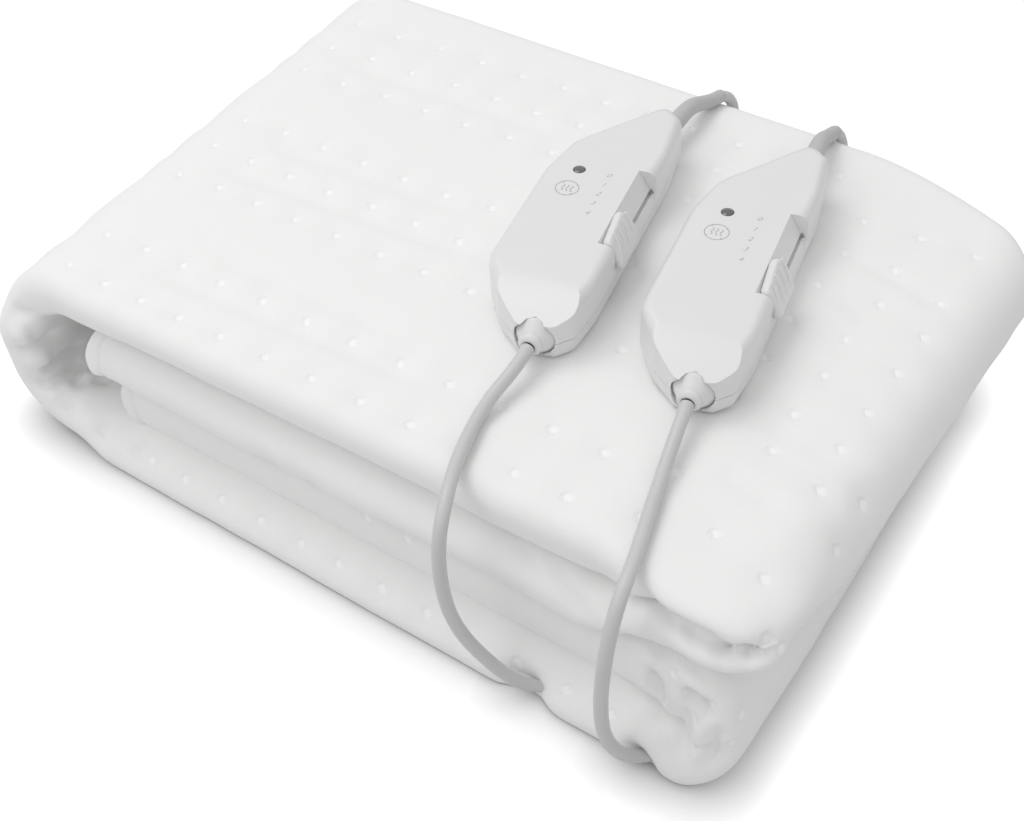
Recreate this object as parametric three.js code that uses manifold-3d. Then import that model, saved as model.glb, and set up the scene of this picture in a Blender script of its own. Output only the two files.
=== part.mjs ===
// Heated mattress pad with two hand controllers, folded for the shelf.
// Millimetres. X runs along the folded pad's long side, Y to the back, Z up, the pad's underside at Z = 0.

import * as THREE from 'three';
import { mergeVertices } from 'three/addons/utils/BufferGeometryUtils.js';
import Module from 'manifold-3d';

const wasm = await Module();
wasm.setup();

// ---------------------------------------------------------------- driving dimensions

const SEAT_GAP = 0.3; // between two pieces that touch on the real object

// The pad: one strip of padded cloth, both ends turned to the middle, then folded over once more.
const STRIP_THICKNESS = 23.2; // the cloth's own layers lying together
const LEVEL_GAP = 1.4; // air between one level of the strip and the next
const LEVEL_STEP = STRIP_THICKNESS + LEVEL_GAP;
const HALF_STRIP = STRIP_THICKNESS / 2;
const BEND_RADIUS = LEVEL_STEP / 2; // middle of the strip, at both tight turns
const PAD_HEIGHT = 4 * STRIP_THICKNESS + 3 * LEVEL_GAP;
const PAD_DEPTH = 280; // before the folds lie unevenly
const UPPER_TURN_X = 182;
const LOWER_TURN_X = 171;
const UPPER_END_X = -136; // the strip's end that lies on the other one
const LOWER_END_X = -138;
const LOOP_X = -189.2; // middle of the strip at the open loop's outer wall
const LOOP_TOP_RADIUS = 40;
const LOOP_FOOT_RADIUS = 21;
const EDGE_DEPTH = 9; // how far the soft roll of the fold lines reaches in
const EDGE_HEIGHT = 8;

// Controller: Y to its rear end, X to its slider side, Z up from its underside.
const HOUSING_HEIGHT = 25;
const SEAM_HEIGHT = 9;
const EDGE_ROUND_HEIGHT = 5;
const EDGE_ROUND_INSET = 4.2;
const CORD_AXIS_HEIGHT = 10.5;
const TROUGH_FRONT = 43.7;
const TROUGH_REAR = 96;
const THUMB_FRONT = 44.4;
const THUMB_LENGTH = 24;
const LAMP = { x: -13.4, y: 88.5, radius: 2.5, depth: 2.8, dome: 0.5 };

// Cords
const CORD_DIAMETER = 5.4;
const CORD_RADIUS = CORD_DIAMETER / 2;
const CORD_STEP = 13.5; // length of one straight step of a cord's solid
const COIL_RADIUS = 29.7; // to the middle of its turns
const COIL_LAYERS = 3;
const COIL_SIDE = COIL_LAYERS * CORD_DIAMETER; // square section of three by three turns
const COIL_BOTTOM = 1.6;
const TIE_WALL = 1.2;
const TIE_WIDTH = 6;

// ---------------------------------------------------------------- materials

const finish = (color, roughness, metalness = 0) => () =>
  new THREE.MeshStandardMaterial({ color, roughness, metalness });

const paddedCloth = finish(0xf0f0ee, 0.95);
const shellPlastic = finish(0xe6e6e5, 0.35);
const cordRubber = finish(0xdededc, 0.5);
const lampLens = finish(0x5a5c5c, 0.2);
const pinMetal = finish(0xc9c6be, 0.3, 1);

// ---------------------------------------------------------------- helpers

const smooth = (low, high, value) => THREE.MathUtils.smoothstep(value, low, high);

function piece(name, geometry, material) {
  const mesh = new THREE.Mesh(geometry, material());
  mesh.name = name;
  return mesh;
}

function solid(geometry) {
  const bare = geometry.clone();
  bare.deleteAttribute('normal');
  bare.deleteAttribute('uv');
  const merged = mergeVertices(bare, 1e-4);
  const vertProperties = new Float32Array(merged.attributes.position.array);
  const triVerts = new Uint32Array(merged.index.array);
  return new wasm.Manifold(new wasm.Mesh({ numProp: 3, vertProperties, triVerts }));
}

function geometryOf(body) {
  const { vertProperties, triVerts } = body.getMesh();
  const geometry = new THREE.BufferGeometry();
  geometry.setAttribute('position', new THREE.BufferAttribute(vertProperties, 3));
  geometry.setIndex(new THREE.BufferAttribute(triVerts, 1));
  return geometry;
}

// A shape drawn in X and Z, drawn out along Y from one place to another.
function alongY(shape, from, to, options = {}) {
  const geometry = new THREE.ExtrudeGeometry(shape, { depth: to - from, bevelEnabled: false, ...options });
  geometry.rotateX(Math.PI / 2);
  geometry.translate(0, to, 0);
  return geometry;
}

function block(x0, x1, y0, y1, z0, z1) {
  const geometry = new THREE.BoxGeometry(x1 - x0, y1 - y0, z1 - z0);
  geometry.translate((x0 + x1) / 2, (y0 + y1) / 2, (z0 + z1) / 2);
  return geometry;
}

// A closed outline through corner rows { x, y, r }, each corner rounded to its radius.
function roundedOutline(corners) {
  const shape = new THREE.Shape();
  corners.forEach((corner, index) => {
    const at = new THREE.Vector2(corner.x, corner.y);
    const before = corners[(index + corners.length - 1) % corners.length];
    const after = corners[(index + 1) % corners.length];
    const back = new THREE.Vector2(before.x, before.y).sub(at).normalize();
    const ahead = new THREE.Vector2(after.x, after.y).sub(at).normalize();
    const halfAngle = Math.acos(back.dot(ahead)) / 2;
    const start = back.clone().multiplyScalar(corner.r / Math.tan(halfAngle)).add(at);
    const end = ahead.clone().multiplyScalar(corner.r / Math.tan(halfAngle)).add(at);
    const toCentre = back.clone().add(ahead).setLength(corner.r / Math.sin(halfAngle));
    const centre = toCentre.add(at);
    const clockwise = back.cross(ahead) > 0;
    const startAngle = start.sub(centre).angle();
    const endAngle = end.sub(centre).angle();
    shape.absarc(centre.x, centre.y, corner.r, startAngle, endAngle, clockwise);
  });
  shape.closePath();
  return shape;
}

// A turned piece: rows { at, r } along its own axis, which points along -Y before it is turned.
function turned(rows, segments = 16) {
  const points = rows.map(({ at, r }) => new THREE.Vector2(r, -at));
  return new THREE.LatheGeometry(points.reverse(), segments);
}

// ---------------------------------------------------------------- pad

// Front edge of each level: where it is at the middle, and how far it moves forward for each mm
// to the right.
const LEVEL_FRONTS = [
  { z: HALF_STRIP, front: -141, slope: -0.02 },
  { z: HALF_STRIP + LEVEL_STEP, front: -134, slope: -0.048 },
  { z: HALF_STRIP + 2 * LEVEL_STEP, front: -137, slope: -0.0605 },
  { z: HALF_STRIP + 3 * LEVEL_STEP, front: -134, slope: -0.0587 },
];
// The share of a level's height over which one front edge changes to the next.
const LEVEL_CHANGE = { begin: 0.35, end: 0.65 };
const FOOT_CORNER = { x: -110, curve: 0.0022 }; // the lowest level draws back towards its left end
const FOOT_BULGE = { x: 120, curve: -0.0025, most: -6 }; // and comes forward under its right turn
const BACK = {
  y: 143.3,
  slope: -0.043,
  corner: 112,
  curve: 0.0212,
  power: 1.61,
  leftCorner: -175,
  leftCurve: 0.02,
};
const LOOP_LEAN = { from: -60, to: -160, slope: -0.07 }; // the open loop's wall leans out towards the back
const TURN_LEAN = { from: 60, to: 170, slope: 0.045 }; // so does the upper turn
// The loop's front rim spreads to the left, most in the lower half.
const LOOP_FLARE = { from: -104, to: -142, most: -13, atTop: 0.6, foot: 55, top: 95 };

function frontEdge(x, z) {
  let edge = LEVEL_FRONTS[0].front + LEVEL_FRONTS[0].slope * x;
  if (x < FOOT_CORNER.x) {
    edge += FOOT_CORNER.curve * (x - FOOT_CORNER.x) ** 2;
  }
  if (x > FOOT_BULGE.x) {
    edge += Math.max(FOOT_BULGE.most, FOOT_BULGE.curve * (x - FOOT_BULGE.x) ** 2);
  }
  for (let level = 1; level < LEVEL_FRONTS.length; level += 1) {
    const share = (z - LEVEL_FRONTS[level - 1].z) / LEVEL_STEP;
    const own = LEVEL_FRONTS[level].front + LEVEL_FRONTS[level].slope * x;
    edge = THREE.MathUtils.lerp(edge, own, smooth(LEVEL_CHANGE.begin, LEVEL_CHANGE.end, share));
  }
  return edge;
}

function backEdge(x) {
  const corner = BACK.curve * Math.max(0, x - BACK.corner) ** BACK.power;
  const leftCorner = BACK.leftCurve * Math.max(0, BACK.leftCorner - x) ** 2;
  return BACK.y + BACK.slope * x - corner - leftCorner;
}

// Moves a point of the evenly folded pad to where the uneven folds lie.
function settle(x, y, z) {
  const across = (y + PAD_DEPTH / 2) / PAD_DEPTH;
  const settledY = THREE.MathUtils.lerp(frontEdge(x, z), backEdge(x), across);
  const loopShare = smooth(-LOOP_LEAN.from, -LOOP_LEAN.to, -x);
  const upper = smooth(1.5 * LEVEL_STEP, 2.5 * LEVEL_STEP, z);
  const turnShare = smooth(TURN_LEAN.from, TURN_LEAN.to, x) * upper;
  const lean = LOOP_LEAN.slope * loopShare + TURN_LEAN.slope * turnShare;
  const rim = smooth(-LOOP_FLARE.from, -LOOP_FLARE.to, -settledY);
  const atHeight = THREE.MathUtils.lerp(1, LOOP_FLARE.atTop, smooth(LOOP_FLARE.foot, LOOP_FLARE.top, z));
  const flare = LOOP_FLARE.most * loopShare * rim * atHeight;
  return [x + lean * settledY + flare, settledY, z];
}

// The middle of the strip from its upper end to its lower end, in X and Z. Every turn is to the left.
function stripMiddle() {
  const [z4, z3, z2, z1] = LEVEL_FRONTS.map((row) => row.z);
  const quarter = Math.PI / 2;
  const path = new THREE.Path();
  path.moveTo(UPPER_END_X + HALF_STRIP, z2);
  path.lineTo(UPPER_TURN_X, z2);
  path.absarc(UPPER_TURN_X, z2 + BEND_RADIUS, BEND_RADIUS, -quarter, quarter);
  path.lineTo(LOOP_X + LOOP_TOP_RADIUS, z1);
  path.absarc(LOOP_X + LOOP_TOP_RADIUS, z1 - LOOP_TOP_RADIUS, LOOP_TOP_RADIUS, quarter, 2 * quarter);
  path.lineTo(LOOP_X, z4 + LOOP_FOOT_RADIUS);
  path.absarc(LOOP_X + LOOP_FOOT_RADIUS, z4 + LOOP_FOOT_RADIUS, LOOP_FOOT_RADIUS, 2 * quarter, 3 * quarter);
  path.lineTo(LOWER_TURN_X, z4);
  path.absarc(LOWER_TURN_X, z4 + BEND_RADIUS, BEND_RADIUS, -quarter, quarter);
  path.lineTo(LOWER_END_X + HALF_STRIP, z3);
  return path;
}

const LINE_STEP = 30; // length of one straight stretch of the outline, so that it can lie unevenly
const LINE_BOW = 0.06; // how far each long line of the outline bows: the underside stays flat to this
const ARC_STEPS = 8;
const END_STEPS = 6;

function stripOutline() {
  const outer = [];
  const inner = [];
  const curves = stripMiddle().curves;
  curves.forEach((curve, index) => {
    const steps = curve.isLineCurve ? Math.ceil(curve.getLength() / LINE_STEP) : ARC_STEPS;
    const last = index === curves.length - 1 ? steps : steps - 1;
    for (let step = 0; step <= last; step += 1) {
      const at = curve.getPoint(step / steps);
      const along = curve.getTangent(step / steps);
      const left = new THREE.Vector2(-along.y, along.x);
      const bow = curve.isLineCurve ? LINE_BOW * Math.sin((Math.PI * step) / steps) : 0;
      outer.push(at.clone().addScaledVector(left, bow - HALF_STRIP));
      inner.push(at.clone().addScaledVector(left, bow + HALF_STRIP));
    }
  });
  const roundEnd = (x, z, startAngle) => {
    const points = [];
    for (let step = 1; step < END_STEPS; step += 1) {
      const angle = startAngle + (Math.PI * step) / END_STEPS;
      points.push(new THREE.Vector2(x + HALF_STRIP * Math.cos(angle), z + HALF_STRIP * Math.sin(angle)));
    }
    return points;
  };
  const lowerEnd = roundEnd(LOWER_END_X + HALF_STRIP, LEVEL_FRONTS[1].z, Math.PI / 2);
  const upperEnd = roundEnd(UPPER_END_X + HALF_STRIP, LEVEL_FRONTS[2].z, Math.PI / 2);
  return new THREE.Shape([...outer, ...lowerEnd, ...inner.reverse(), ...upperEnd]);
}

function padGeometry() {
  const geometry = alongY(stripOutline(), EDGE_DEPTH - PAD_DEPTH / 2, PAD_DEPTH / 2 - EDGE_DEPTH, {
    steps: 4,
    bevelEnabled: true,
    bevelThickness: EDGE_DEPTH,
    bevelSize: EDGE_HEIGHT,
    bevelOffset: -EDGE_HEIGHT,
    bevelSegments: 3,
  });
  const position = geometry.attributes.position;
  for (let index = 0; index < position.count; index += 1) {
    position.setXYZ(index, ...settle(position.getX(index), position.getY(index), position.getZ(index)));
  }
  return geometry;
}

// ---------------------------------------------------------------- cords

// Routes of the free cords' middles, from the controller outwards.
const PAD_LEAD_ROUTES = [
  [
    [61.87, -67.95, 107.8], [62.63, -71.88, 107.8], [62.5, -80, 105.6], [61, -90, 102.6],
    [61.6, -101, 101], [64, -112.5, 100.5], [67.4, -124, 100.5], [71.4, -134.5, 100.5],
    [75, -142.5, 100.2], [77.2, -148.8, 97],
    [78.3, -153, 90], [78.7, -155, 80], [79.3, -155.6, 68], [80.6, -155.8, 57], [83, -155.3, 47],
    [87.3, -153.8, 36.5], [92.7, -151.4, 27], [97.5, -149, 19], [102.5, -145.5, 11], [107.5, -141, 5],
    [113, -134, 3],
  ],
  [
    [128.77, -63.69, 107.8], [129.49, -67.63, 107.8], [131.3, -76, 105.4], [133.6, -88, 102],
    [136.2, -98, 100.9], [139, -109, 100.5], [142.2, -120, 100.5], [145, -130, 100.5],
    [147, -138.5, 100.5], [148.3, -145.8, 98.9],
    [149.1, -151.8, 93], [149.4, -156, 83.5], [149, -158, 70.5], [148.6, -159, 55], [149, -159, 40],
    [150, -158, 29.5], [151.8, -155, 18.5], [154, -151, 10], [158, -145.5, 4.4], [163, -139, 3],
  ],
];
const MAINS_LEAD_ROUTES = [
  [
    [36.94, 106.85, 107.8], [36.9, 112, 107], [37.3, 118.5, 105], [38.3, 125, 102.6], [39.4, 131, 101.1],
    [40.5, 136.8, 100.8], [41.5, 142, 98.4], [42.4, 145.7, 93.1], [43.2, 147.1, 85.6], [43.9, 148, 75],
    [44.6, 148.6, 62], [45, 150.2, 48], [44.5, 152.3, 34], [42, 154.8, 22], [36, 157.8, 12], [26, 160.8, 6],
    [12, 163.6, 3.4], [-3, 164.8, 3.8], [-13, 164.9, 4.3],
  ],
  [
    [101.74, 110.99, 107.8], [100.9, 116, 107], [100.1, 121.5, 104.9], [99.7, 126.8, 102.4],
    [99.6, 131.9, 101],
    [99.9, 136.8, 99.6], [100.5, 141.1, 96], [101.2, 143.8, 90], [101.8, 145, 82.4], [102.4, 146, 72],
    [103, 146.9, 60], [103.2, 149, 47], [102.6, 151.5, 34], [100.6, 154.2, 21.5], [96.5, 157.3, 11.5],
    [89.5, 160.5, 5.6], [80, 163.4, 3.6], [69, 164.9, 4.3],
  ],
];
const COILS = [
  { x: -25, y: 200, tie: 2.4 },
  { x: 56, y: 200, tie: 3.6 },
];
const MAINS_TAIL_ROUTES = [
  [
    [-60.2, 207, 4.3], [-62, 214, 4.3], [-66, 220.5, 4.4], [-73, 225.6, 5.4], [-80, 227.8, 6.6],
    [-83, 228, 6.85], [-87, 228, 6.85],
  ],
  [
    [63, 235.2, 4.3], [72, 235.3, 4.3], [82, 234.4, 4.2], [92, 231, 4.8], [101, 225.6, 6.2],
    [107.88, 219.39, 6.85], [110, 216, 6.85],
  ],
];
// Where the cord enters each plug, and the way the plug points, in degrees from +X.
const PLUGS = [
  { x: -87.3, y: 228, turn: 180 },
  { x: 110.17, y: 215.75, turn: -58 },
];

const through = (route) => new THREE.CatmullRomCurve3(route.map((point) => new THREE.Vector3(...point)));

function cordGeometry(route, radius = CORD_RADIUS, sides = 8) {
  const path = through(route);
  const section = new THREE.Shape();
  section.absarc(0, 0, radius, 0, 2 * Math.PI);
  const steps = Math.round(path.getLength() / CORD_STEP);
  return new THREE.ExtrudeGeometry(section, { extrudePath: path, steps, curveSegments: sides / 2 });
}

// A bundle of turns: the ring that the wound cord fills, or one that is larger by a margin on every side.
function coilGeometry(margin = 0) {
  const half = COIL_SIDE / 2 + margin;
  const middle = COIL_BOTTOM + COIL_SIDE / 2;
  const corner = 0.8 * half;
  const section = [
    [half, -corner], [half, corner], [corner, half], [-corner, half],
    [-half, corner], [-half, -corner], [-corner, -half], [corner, -half], [half, -corner],
  ];
  const points = section.map(([out, up]) => new THREE.Vector2(COIL_RADIUS + out, middle + up));
  const geometry = new THREE.LatheGeometry(points, 32);
  geometry.rotateX(Math.PI / 2);
  return geometry;
}

// A cord up to where it goes into the ring of its turns.
function cordToCoil(route, coil) {
  const ring = coilGeometry(SEAT_GAP);
  ring.translate(coil.x, coil.y, 0);
  return geometryOf(solid(cordGeometry(route)).subtract(solid(ring)));
}

// A flat band round the coil's section, drawn at the coil's right side.
function tieGeometry() {
  const halfHeight = COIL_SIDE / 2 + SEAT_GAP;
  const halfWidth = COIL_SIDE / 2 + 2 * SEAT_GAP; // a little more, because the coil curves inside it
  const rectangle = (path, w, h) => {
    path.moveTo(-w, -h);
    path.lineTo(w, -h);
    path.lineTo(w, h);
    path.lineTo(-w, h);
    path.closePath();
    return path;
  };
  const band = rectangle(new THREE.Shape(), halfWidth + TIE_WALL, halfHeight + TIE_WALL);
  band.holes.push(rectangle(new THREE.Path(), halfWidth, halfHeight));
  const geometry = alongY(band, -TIE_WIDTH / 2, TIE_WIDTH / 2);
  geometry.translate(COIL_RADIUS, 0, COIL_BOTTOM + COIL_SIDE / 2);
  return geometry;
}

const PLUG = { length: 36, height: 13.7, pinRadius: 2, pinLength: 19, pinSpacing: 19 };
const PLUG_CORNERS = [
  { x: 0, y: -4.6, r: 2.4 },
  { x: 9, y: -5.5, r: 6 },
  { x: 17, y: -17.5, r: 8 },
  { x: PLUG.length, y: -15, r: 3 },
  { x: PLUG.length, y: 15, r: 3 },
  { x: 17, y: 17.5, r: 8 },
  { x: 9, y: 5.5, r: 6 },
  { x: 0, y: 4.6, r: 2.4 },
];

function plugGeometry() {
  const round = 2;
  const geometry = new THREE.ExtrudeGeometry(roundedOutline(PLUG_CORNERS), {
    depth: PLUG.height - 2 * round,
    curveSegments: 2,
    bevelThickness: round,
    bevelSize: round,
    bevelOffset: -round,
    bevelSegments: 2,
  });
  geometry.translate(0, 0, round);
  return geometry;
}

function pinGeometry(side) {
  const geometry = new THREE.CylinderGeometry(PLUG.pinRadius, PLUG.pinRadius, PLUG.pinLength, 12);
  geometry.rotateZ(Math.PI / 2);
  const start = PLUG.length + SEAT_GAP;
  geometry.translate(start + PLUG.pinLength / 2, (side * PLUG.pinSpacing) / 2, PLUG.height / 2);
  return geometry;
}

// ---------------------------------------------------------------- controller

// Corners of the housing, seen from above.
const HOUSING_CORNERS = [
  { x: -5, y: -4.5, r: 4.5 },
  { x: 10, y: -2.5, r: 5 },
  { x: 16, y: 4, r: 6 },
  { x: 18.4, y: 22, r: 40 },
  { x: 18.9, y: 115, r: 40 },
  { x: 16.4, y: 141, r: 7 },
  { x: 6.5, y: 150, r: 6 },
  { x: -24.5, y: 110, r: 24 },
  { x: -29, y: 88, r: 40 },
  { x: -28.8, y: 24, r: 14 },
  { x: -17.5, y: 6.5, r: 20 },
];
// The top face slopes down to the front end over the nose.
const NOSE = { rear: 14, front: -10, frontHeight: 15 };
// The slanted wall that the slider runs on: its upper edge on the top face, its lower edge on the side.
const WALL_TOP = { x: 11, z: 25 };
const WALL_FOOT = { x: 19, z: 11 };
const WALL_ANGLE = Math.atan2(WALL_TOP.z - WALL_FOOT.z, WALL_FOOT.x - WALL_TOP.x);
const WALL_LENGTH = Math.hypot(WALL_FOOT.x - WALL_TOP.x, WALL_TOP.z - WALL_FOOT.z);
const TROUGH_CORNERS = [
  { x: TROUGH_FRONT, y: -8, r: 0.5 },
  { x: TROUGH_REAR, y: -8, r: 10 },
  { x: TROUGH_REAR, y: WALL_LENGTH + 0.5, r: 6 },
  { x: TROUGH_FRONT, y: WALL_LENGTH + 0.5, r: 0.5 },
];
const SLOT = { front: 47, rear: 97.5, down: 11.2, width: 2.2, depth: 2.4 };
const THUMB_CORNERS = [
  { x: THUMB_FRONT, y: 1.2, r: 3 },
  { x: THUMB_FRONT + THUMB_LENGTH - 4, y: -1.2, r: 3.5 },
  { x: THUMB_FRONT + THUMB_LENGTH, y: 10, r: 6 },
  { x: THUMB_FRONT + THUMB_LENGTH - 3, y: WALL_LENGTH - 0.6, r: 2.4 },
  { x: THUMB_FRONT, y: WALL_LENGTH - 0.6, r: 2 },
];
const THUMB_HEIGHT = 4.2;
const THUMB_ROUND = 1.6;
const STEM = { front: THUMB_FRONT + 4, rear: THUMB_FRONT + 20, depth: 1.8 };

// Puts a piece drawn on the slanted wall (X along the trough, Y down the wall, Z out of it) in its place.
function onWall(geometry) {
  const along = new THREE.Vector3(0, 1, 0);
  const down = new THREE.Vector3(Math.cos(WALL_ANGLE), 0, -Math.sin(WALL_ANGLE));
  const out = new THREE.Vector3(Math.sin(WALL_ANGLE), 0, Math.cos(WALL_ANGLE));
  const frame = new THREE.Matrix4().makeBasis(along, down, out);
  frame.setPosition(WALL_TOP.x, 0, WALL_TOP.z);
  const placed = geometry.clone();
  placed.applyMatrix4(frame);
  // The three directions make a left-handed set, so each face is turned over again.
  const index = placed.index ? placed.index.array : null;
  const position = placed.attributes.position;
  if (!index) {
    for (let face = 0; face < position.count; face += 3) {
      const b = new THREE.Vector3().fromBufferAttribute(position, face + 1);
      const c = new THREE.Vector3().fromBufferAttribute(position, face + 2);
      position.setXYZ(face + 1, c.x, c.y, c.z);
      position.setXYZ(face + 2, b.x, b.y, b.z);
    }
  } else {
    for (let face = 0; face < index.length; face += 3) {
      [index[face + 1], index[face + 2]] = [index[face + 2], index[face + 1]];
    }
  }
  return placed;
}

function rise(shape, bottom, top, options = {}) {
  const flat = { depth: top - bottom, bevelEnabled: false };
  const geometry = new THREE.ExtrudeGeometry(shape, { ...flat, ...options });
  geometry.translate(0, 0, bottom);
  return geometry;
}

const FRONT_RELIEF_ROWS = [
  { at: -2.7, r: 0 },
  { at: -2.7, r: 8.4 },
  { at: 1.5, r: 8.4 },
  { at: 2.5, r: 7.8 },
  { at: 5.6, r: 5.4 },
  { at: 6.4, r: 4.4 },
  { at: 8.5, r: 3.9 },
  { at: 8.6, r: 0 },
];
const REAR_RELIEF_ROWS = [
  { at: -5, r: 0 },
  { at: -5, r: 4.6 },
  { at: 4, r: 4.5 },
  { at: 19.4, r: 3.2 },
  { at: 20, r: 0 },
];
const FRONT_EXIT = { x: 1.5, y: 0 };
const REAR_EXIT = { x: 6.5, y: 147.5 };

function relief(rows, exit, turn) {
  const geometry = turned(rows);
  geometry.rotateZ(turn);
  geometry.translate(exit.x, exit.y, CORD_AXIS_HEIGHT);
  return geometry;
}

// The round pocket that a relief sits in, reaching out past the housing.
function pocket(rows, exit, turn) {
  const bottom = rows[0].at - SEAT_GAP;
  const radius = rows[1].r + SEAT_GAP;
  const reach = 30;
  const walls = [
    { at: bottom, r: 0 },
    { at: bottom, r: radius },
    { at: reach, r: radius },
    { at: reach, r: 0 },
  ];
  return relief(walls, exit, turn);
}

// What is cut away above the nose: a wedge drawn in Y and Z, across the whole width.
function aboveNose() {
  const over = HOUSING_HEIGHT + 5;
  const wedge = new THREE.Shape();
  wedge.moveTo(NOSE.rear, HOUSING_HEIGHT);
  wedge.lineTo(NOSE.rear, over);
  wedge.lineTo(NOSE.front, over);
  wedge.lineTo(NOSE.front, NOSE.frontHeight);
  wedge.closePath();
  const geometry = rise(wedge, -40, 40);
  const [x, y, z] = [new THREE.Vector3(1, 0, 0), new THREE.Vector3(0, 1, 0), new THREE.Vector3(0, 0, 1)];
  geometry.applyMatrix4(new THREE.Matrix4().makeBasis(y, z, x));
  return geometry;
}

function controller(suffix, rearTurn) {
  const outline = roundedOutline(HOUSING_CORNERS);
  const rounded = rise(outline, EDGE_ROUND_HEIGHT, HOUSING_HEIGHT - EDGE_ROUND_HEIGHT, {
    curveSegments: 3,
    bevelEnabled: true,
    bevelThickness: EDGE_ROUND_HEIGHT,
    bevelSize: EDGE_ROUND_INSET,
    bevelOffset: -EDGE_ROUND_INSET,
    bevelSegments: 3,
  });
  const whole = solid(rounded);
  const trough = solid(onWall(rise(roundedOutline(TROUGH_CORNERS), 0, 20, { curveSegments: 6 })));
  const slotY = [SLOT.down - SLOT.width / 2, SLOT.down + SLOT.width / 2];
  const slot = solid(onWall(block(SLOT.front, SLOT.rear, ...slotY, -SLOT.depth, 1)));
  const frontPocket = solid(pocket(FRONT_RELIEF_ROWS, FRONT_EXIT, 0));
  const rearPocket = solid(pocket(REAR_RELIEF_ROWS, REAR_EXIT, rearTurn));
  const holeRadius = LAMP.radius + SEAT_GAP;
  const lampHole = new THREE.CylinderGeometry(holeRadius, holeRadius, 2 * LAMP.depth, 20);
  lampHole.rotateX(Math.PI / 2);
  lampHole.translate(LAMP.x, LAMP.y, HOUSING_HEIGHT);
  const solidShell = whole.subtract(solid(aboveNose()));
  const shell = solidShell.subtract(trough).subtract(slot).subtract(frontPocket).subtract(rearPocket);
  const below = solid(block(-60, 60, -60, 200, -10, SEAM_HEIGHT - SEAT_GAP / 2));
  const above = solid(block(-60, 60, -60, 200, SEAM_HEIGHT + SEAT_GAP / 2, 60));
  const base = shell.intersect(below);
  const top = shell.intersect(above).subtract(solid(lampHole));

  const cap = rise(roundedOutline(THUMB_CORNERS), THUMB_ROUND, THUMB_HEIGHT - THUMB_ROUND, {
    curveSegments: 2,
    bevelEnabled: true,
    bevelThickness: THUMB_ROUND,
    bevelSize: THUMB_ROUND,
    bevelOffset: -THUMB_ROUND,
    bevelSegments: 2,
  });
  cap.translate(0, 0, SEAT_GAP);
  const stemHalf = SLOT.width / 2 - SEAT_GAP;
  const stem = block(STEM.front, STEM.rear, SLOT.down - stemHalf, SLOT.down + stemHalf, -STEM.depth, 2);
  const thumb = solid(onWall(cap)).add(solid(onWall(stem)));

  const lensTop = HOUSING_HEIGHT + LAMP.dome;
  const lensBottom = HOUSING_HEIGHT - LAMP.depth + SEAT_GAP;
  const lens = new THREE.LatheGeometry([
    new THREE.Vector2(0, lensBottom),
    new THREE.Vector2(LAMP.radius, lensBottom),
    new THREE.Vector2(LAMP.radius, HOUSING_HEIGHT),
    new THREE.Vector2(0.7 * LAMP.radius, HOUSING_HEIGHT + 0.7 * LAMP.dome),
    new THREE.Vector2(0, lensTop),
  ], 20);
  lens.rotateX(Math.PI / 2);
  lens.translate(LAMP.x, LAMP.y, 0);

  const group = new THREE.Group();
  group.add(piece(`housing_base_${suffix}`, geometryOf(base), shellPlastic));
  group.add(piece(`housing_top_${suffix}`, geometryOf(top), shellPlastic));
  group.add(piece(`thumb_${suffix}`, geometryOf(thumb), shellPlastic));
  group.add(piece(`lamp_${suffix}`, lens, lampLens));
  group.add(piece(`front_relief_${suffix}`, relief(FRONT_RELIEF_ROWS, FRONT_EXIT, 0), cordRubber));
  group.add(piece(`rear_relief_${suffix}`, relief(REAR_RELIEF_ROWS, REAR_EXIT, rearTurn), cordRubber));
  return group;
}

// ---------------------------------------------------------------- assembly

// Where each controller lies, and its turns in degrees: its own, and its rear sleeve's from
// pointing forward.
const CONTROLLERS = [
  { x: 58.7, y: -59.5, turn: 11, rearTurn: 169 },
  { x: 125.7, y: -55.2, turn: 10.3, rearTurn: 181 },
];
const pad = new THREE.Group();

let cloth = solid(padGeometry());
// Each pad lead lies in a groove under the pad's front edge, which reaches a little past the lead's end.
const groove = (route) => solid(cordGeometry(route, CORD_RADIUS + 2 * SEAT_GAP));
PAD_LEAD_ROUTES.forEach((route) => {
  const [before, last] = route.slice(-2);
  const beyond = last.map((value, axis) => value + 0.1 * (value - before[axis]));
  cloth = cloth.subtract(groove(route)).subtract(groove([before, last, beyond]));
});
pad.add(piece('pad', geometryOf(cloth), paddedCloth));

CONTROLLERS.forEach((seat, index) => {
  const suffix = index + 1;
  const group = controller(suffix, THREE.MathUtils.degToRad(seat.rearTurn));
  group.position.set(seat.x, seat.y, PAD_HEIGHT + SEAT_GAP);
  group.rotation.z = THREE.MathUtils.degToRad(seat.turn);
  pad.add(group);

  pad.add(piece(`pad_lead_${suffix}`, cordGeometry(PAD_LEAD_ROUTES[index]), cordRubber));
  const place = COILS[index];
  pad.add(piece(`mains_lead_${suffix}`, cordToCoil(MAINS_LEAD_ROUTES[index], place), cordRubber));
  pad.add(piece(`mains_tail_${suffix}`, cordToCoil(MAINS_TAIL_ROUTES[index], place), cordRubber));

  const coil = new THREE.Group();
  coil.position.set(place.x, place.y, 0);
  coil.add(piece(`mains_coil_${suffix}`, coilGeometry(), cordRubber));
  const tie = piece(`coil_tie_${suffix}`, tieGeometry(), cordRubber);
  tie.rotation.z = place.tie;
  coil.add(tie);
  pad.add(coil);

  const plug = new THREE.Group();
  plug.position.set(PLUGS[index].x, PLUGS[index].y, 0);
  plug.rotation.z = THREE.MathUtils.degToRad(PLUGS[index].turn);
  plug.add(piece(`plug_body_${suffix}`, plugGeometry(), cordRubber));
  plug.add(piece(`plug_pin_a_${suffix}`, pinGeometry(-1), pinMetal));
  plug.add(piece(`plug_pin_b_${suffix}`, pinGeometry(1), pinMetal));
  pad.add(plug);
});

export default pad;
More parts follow.
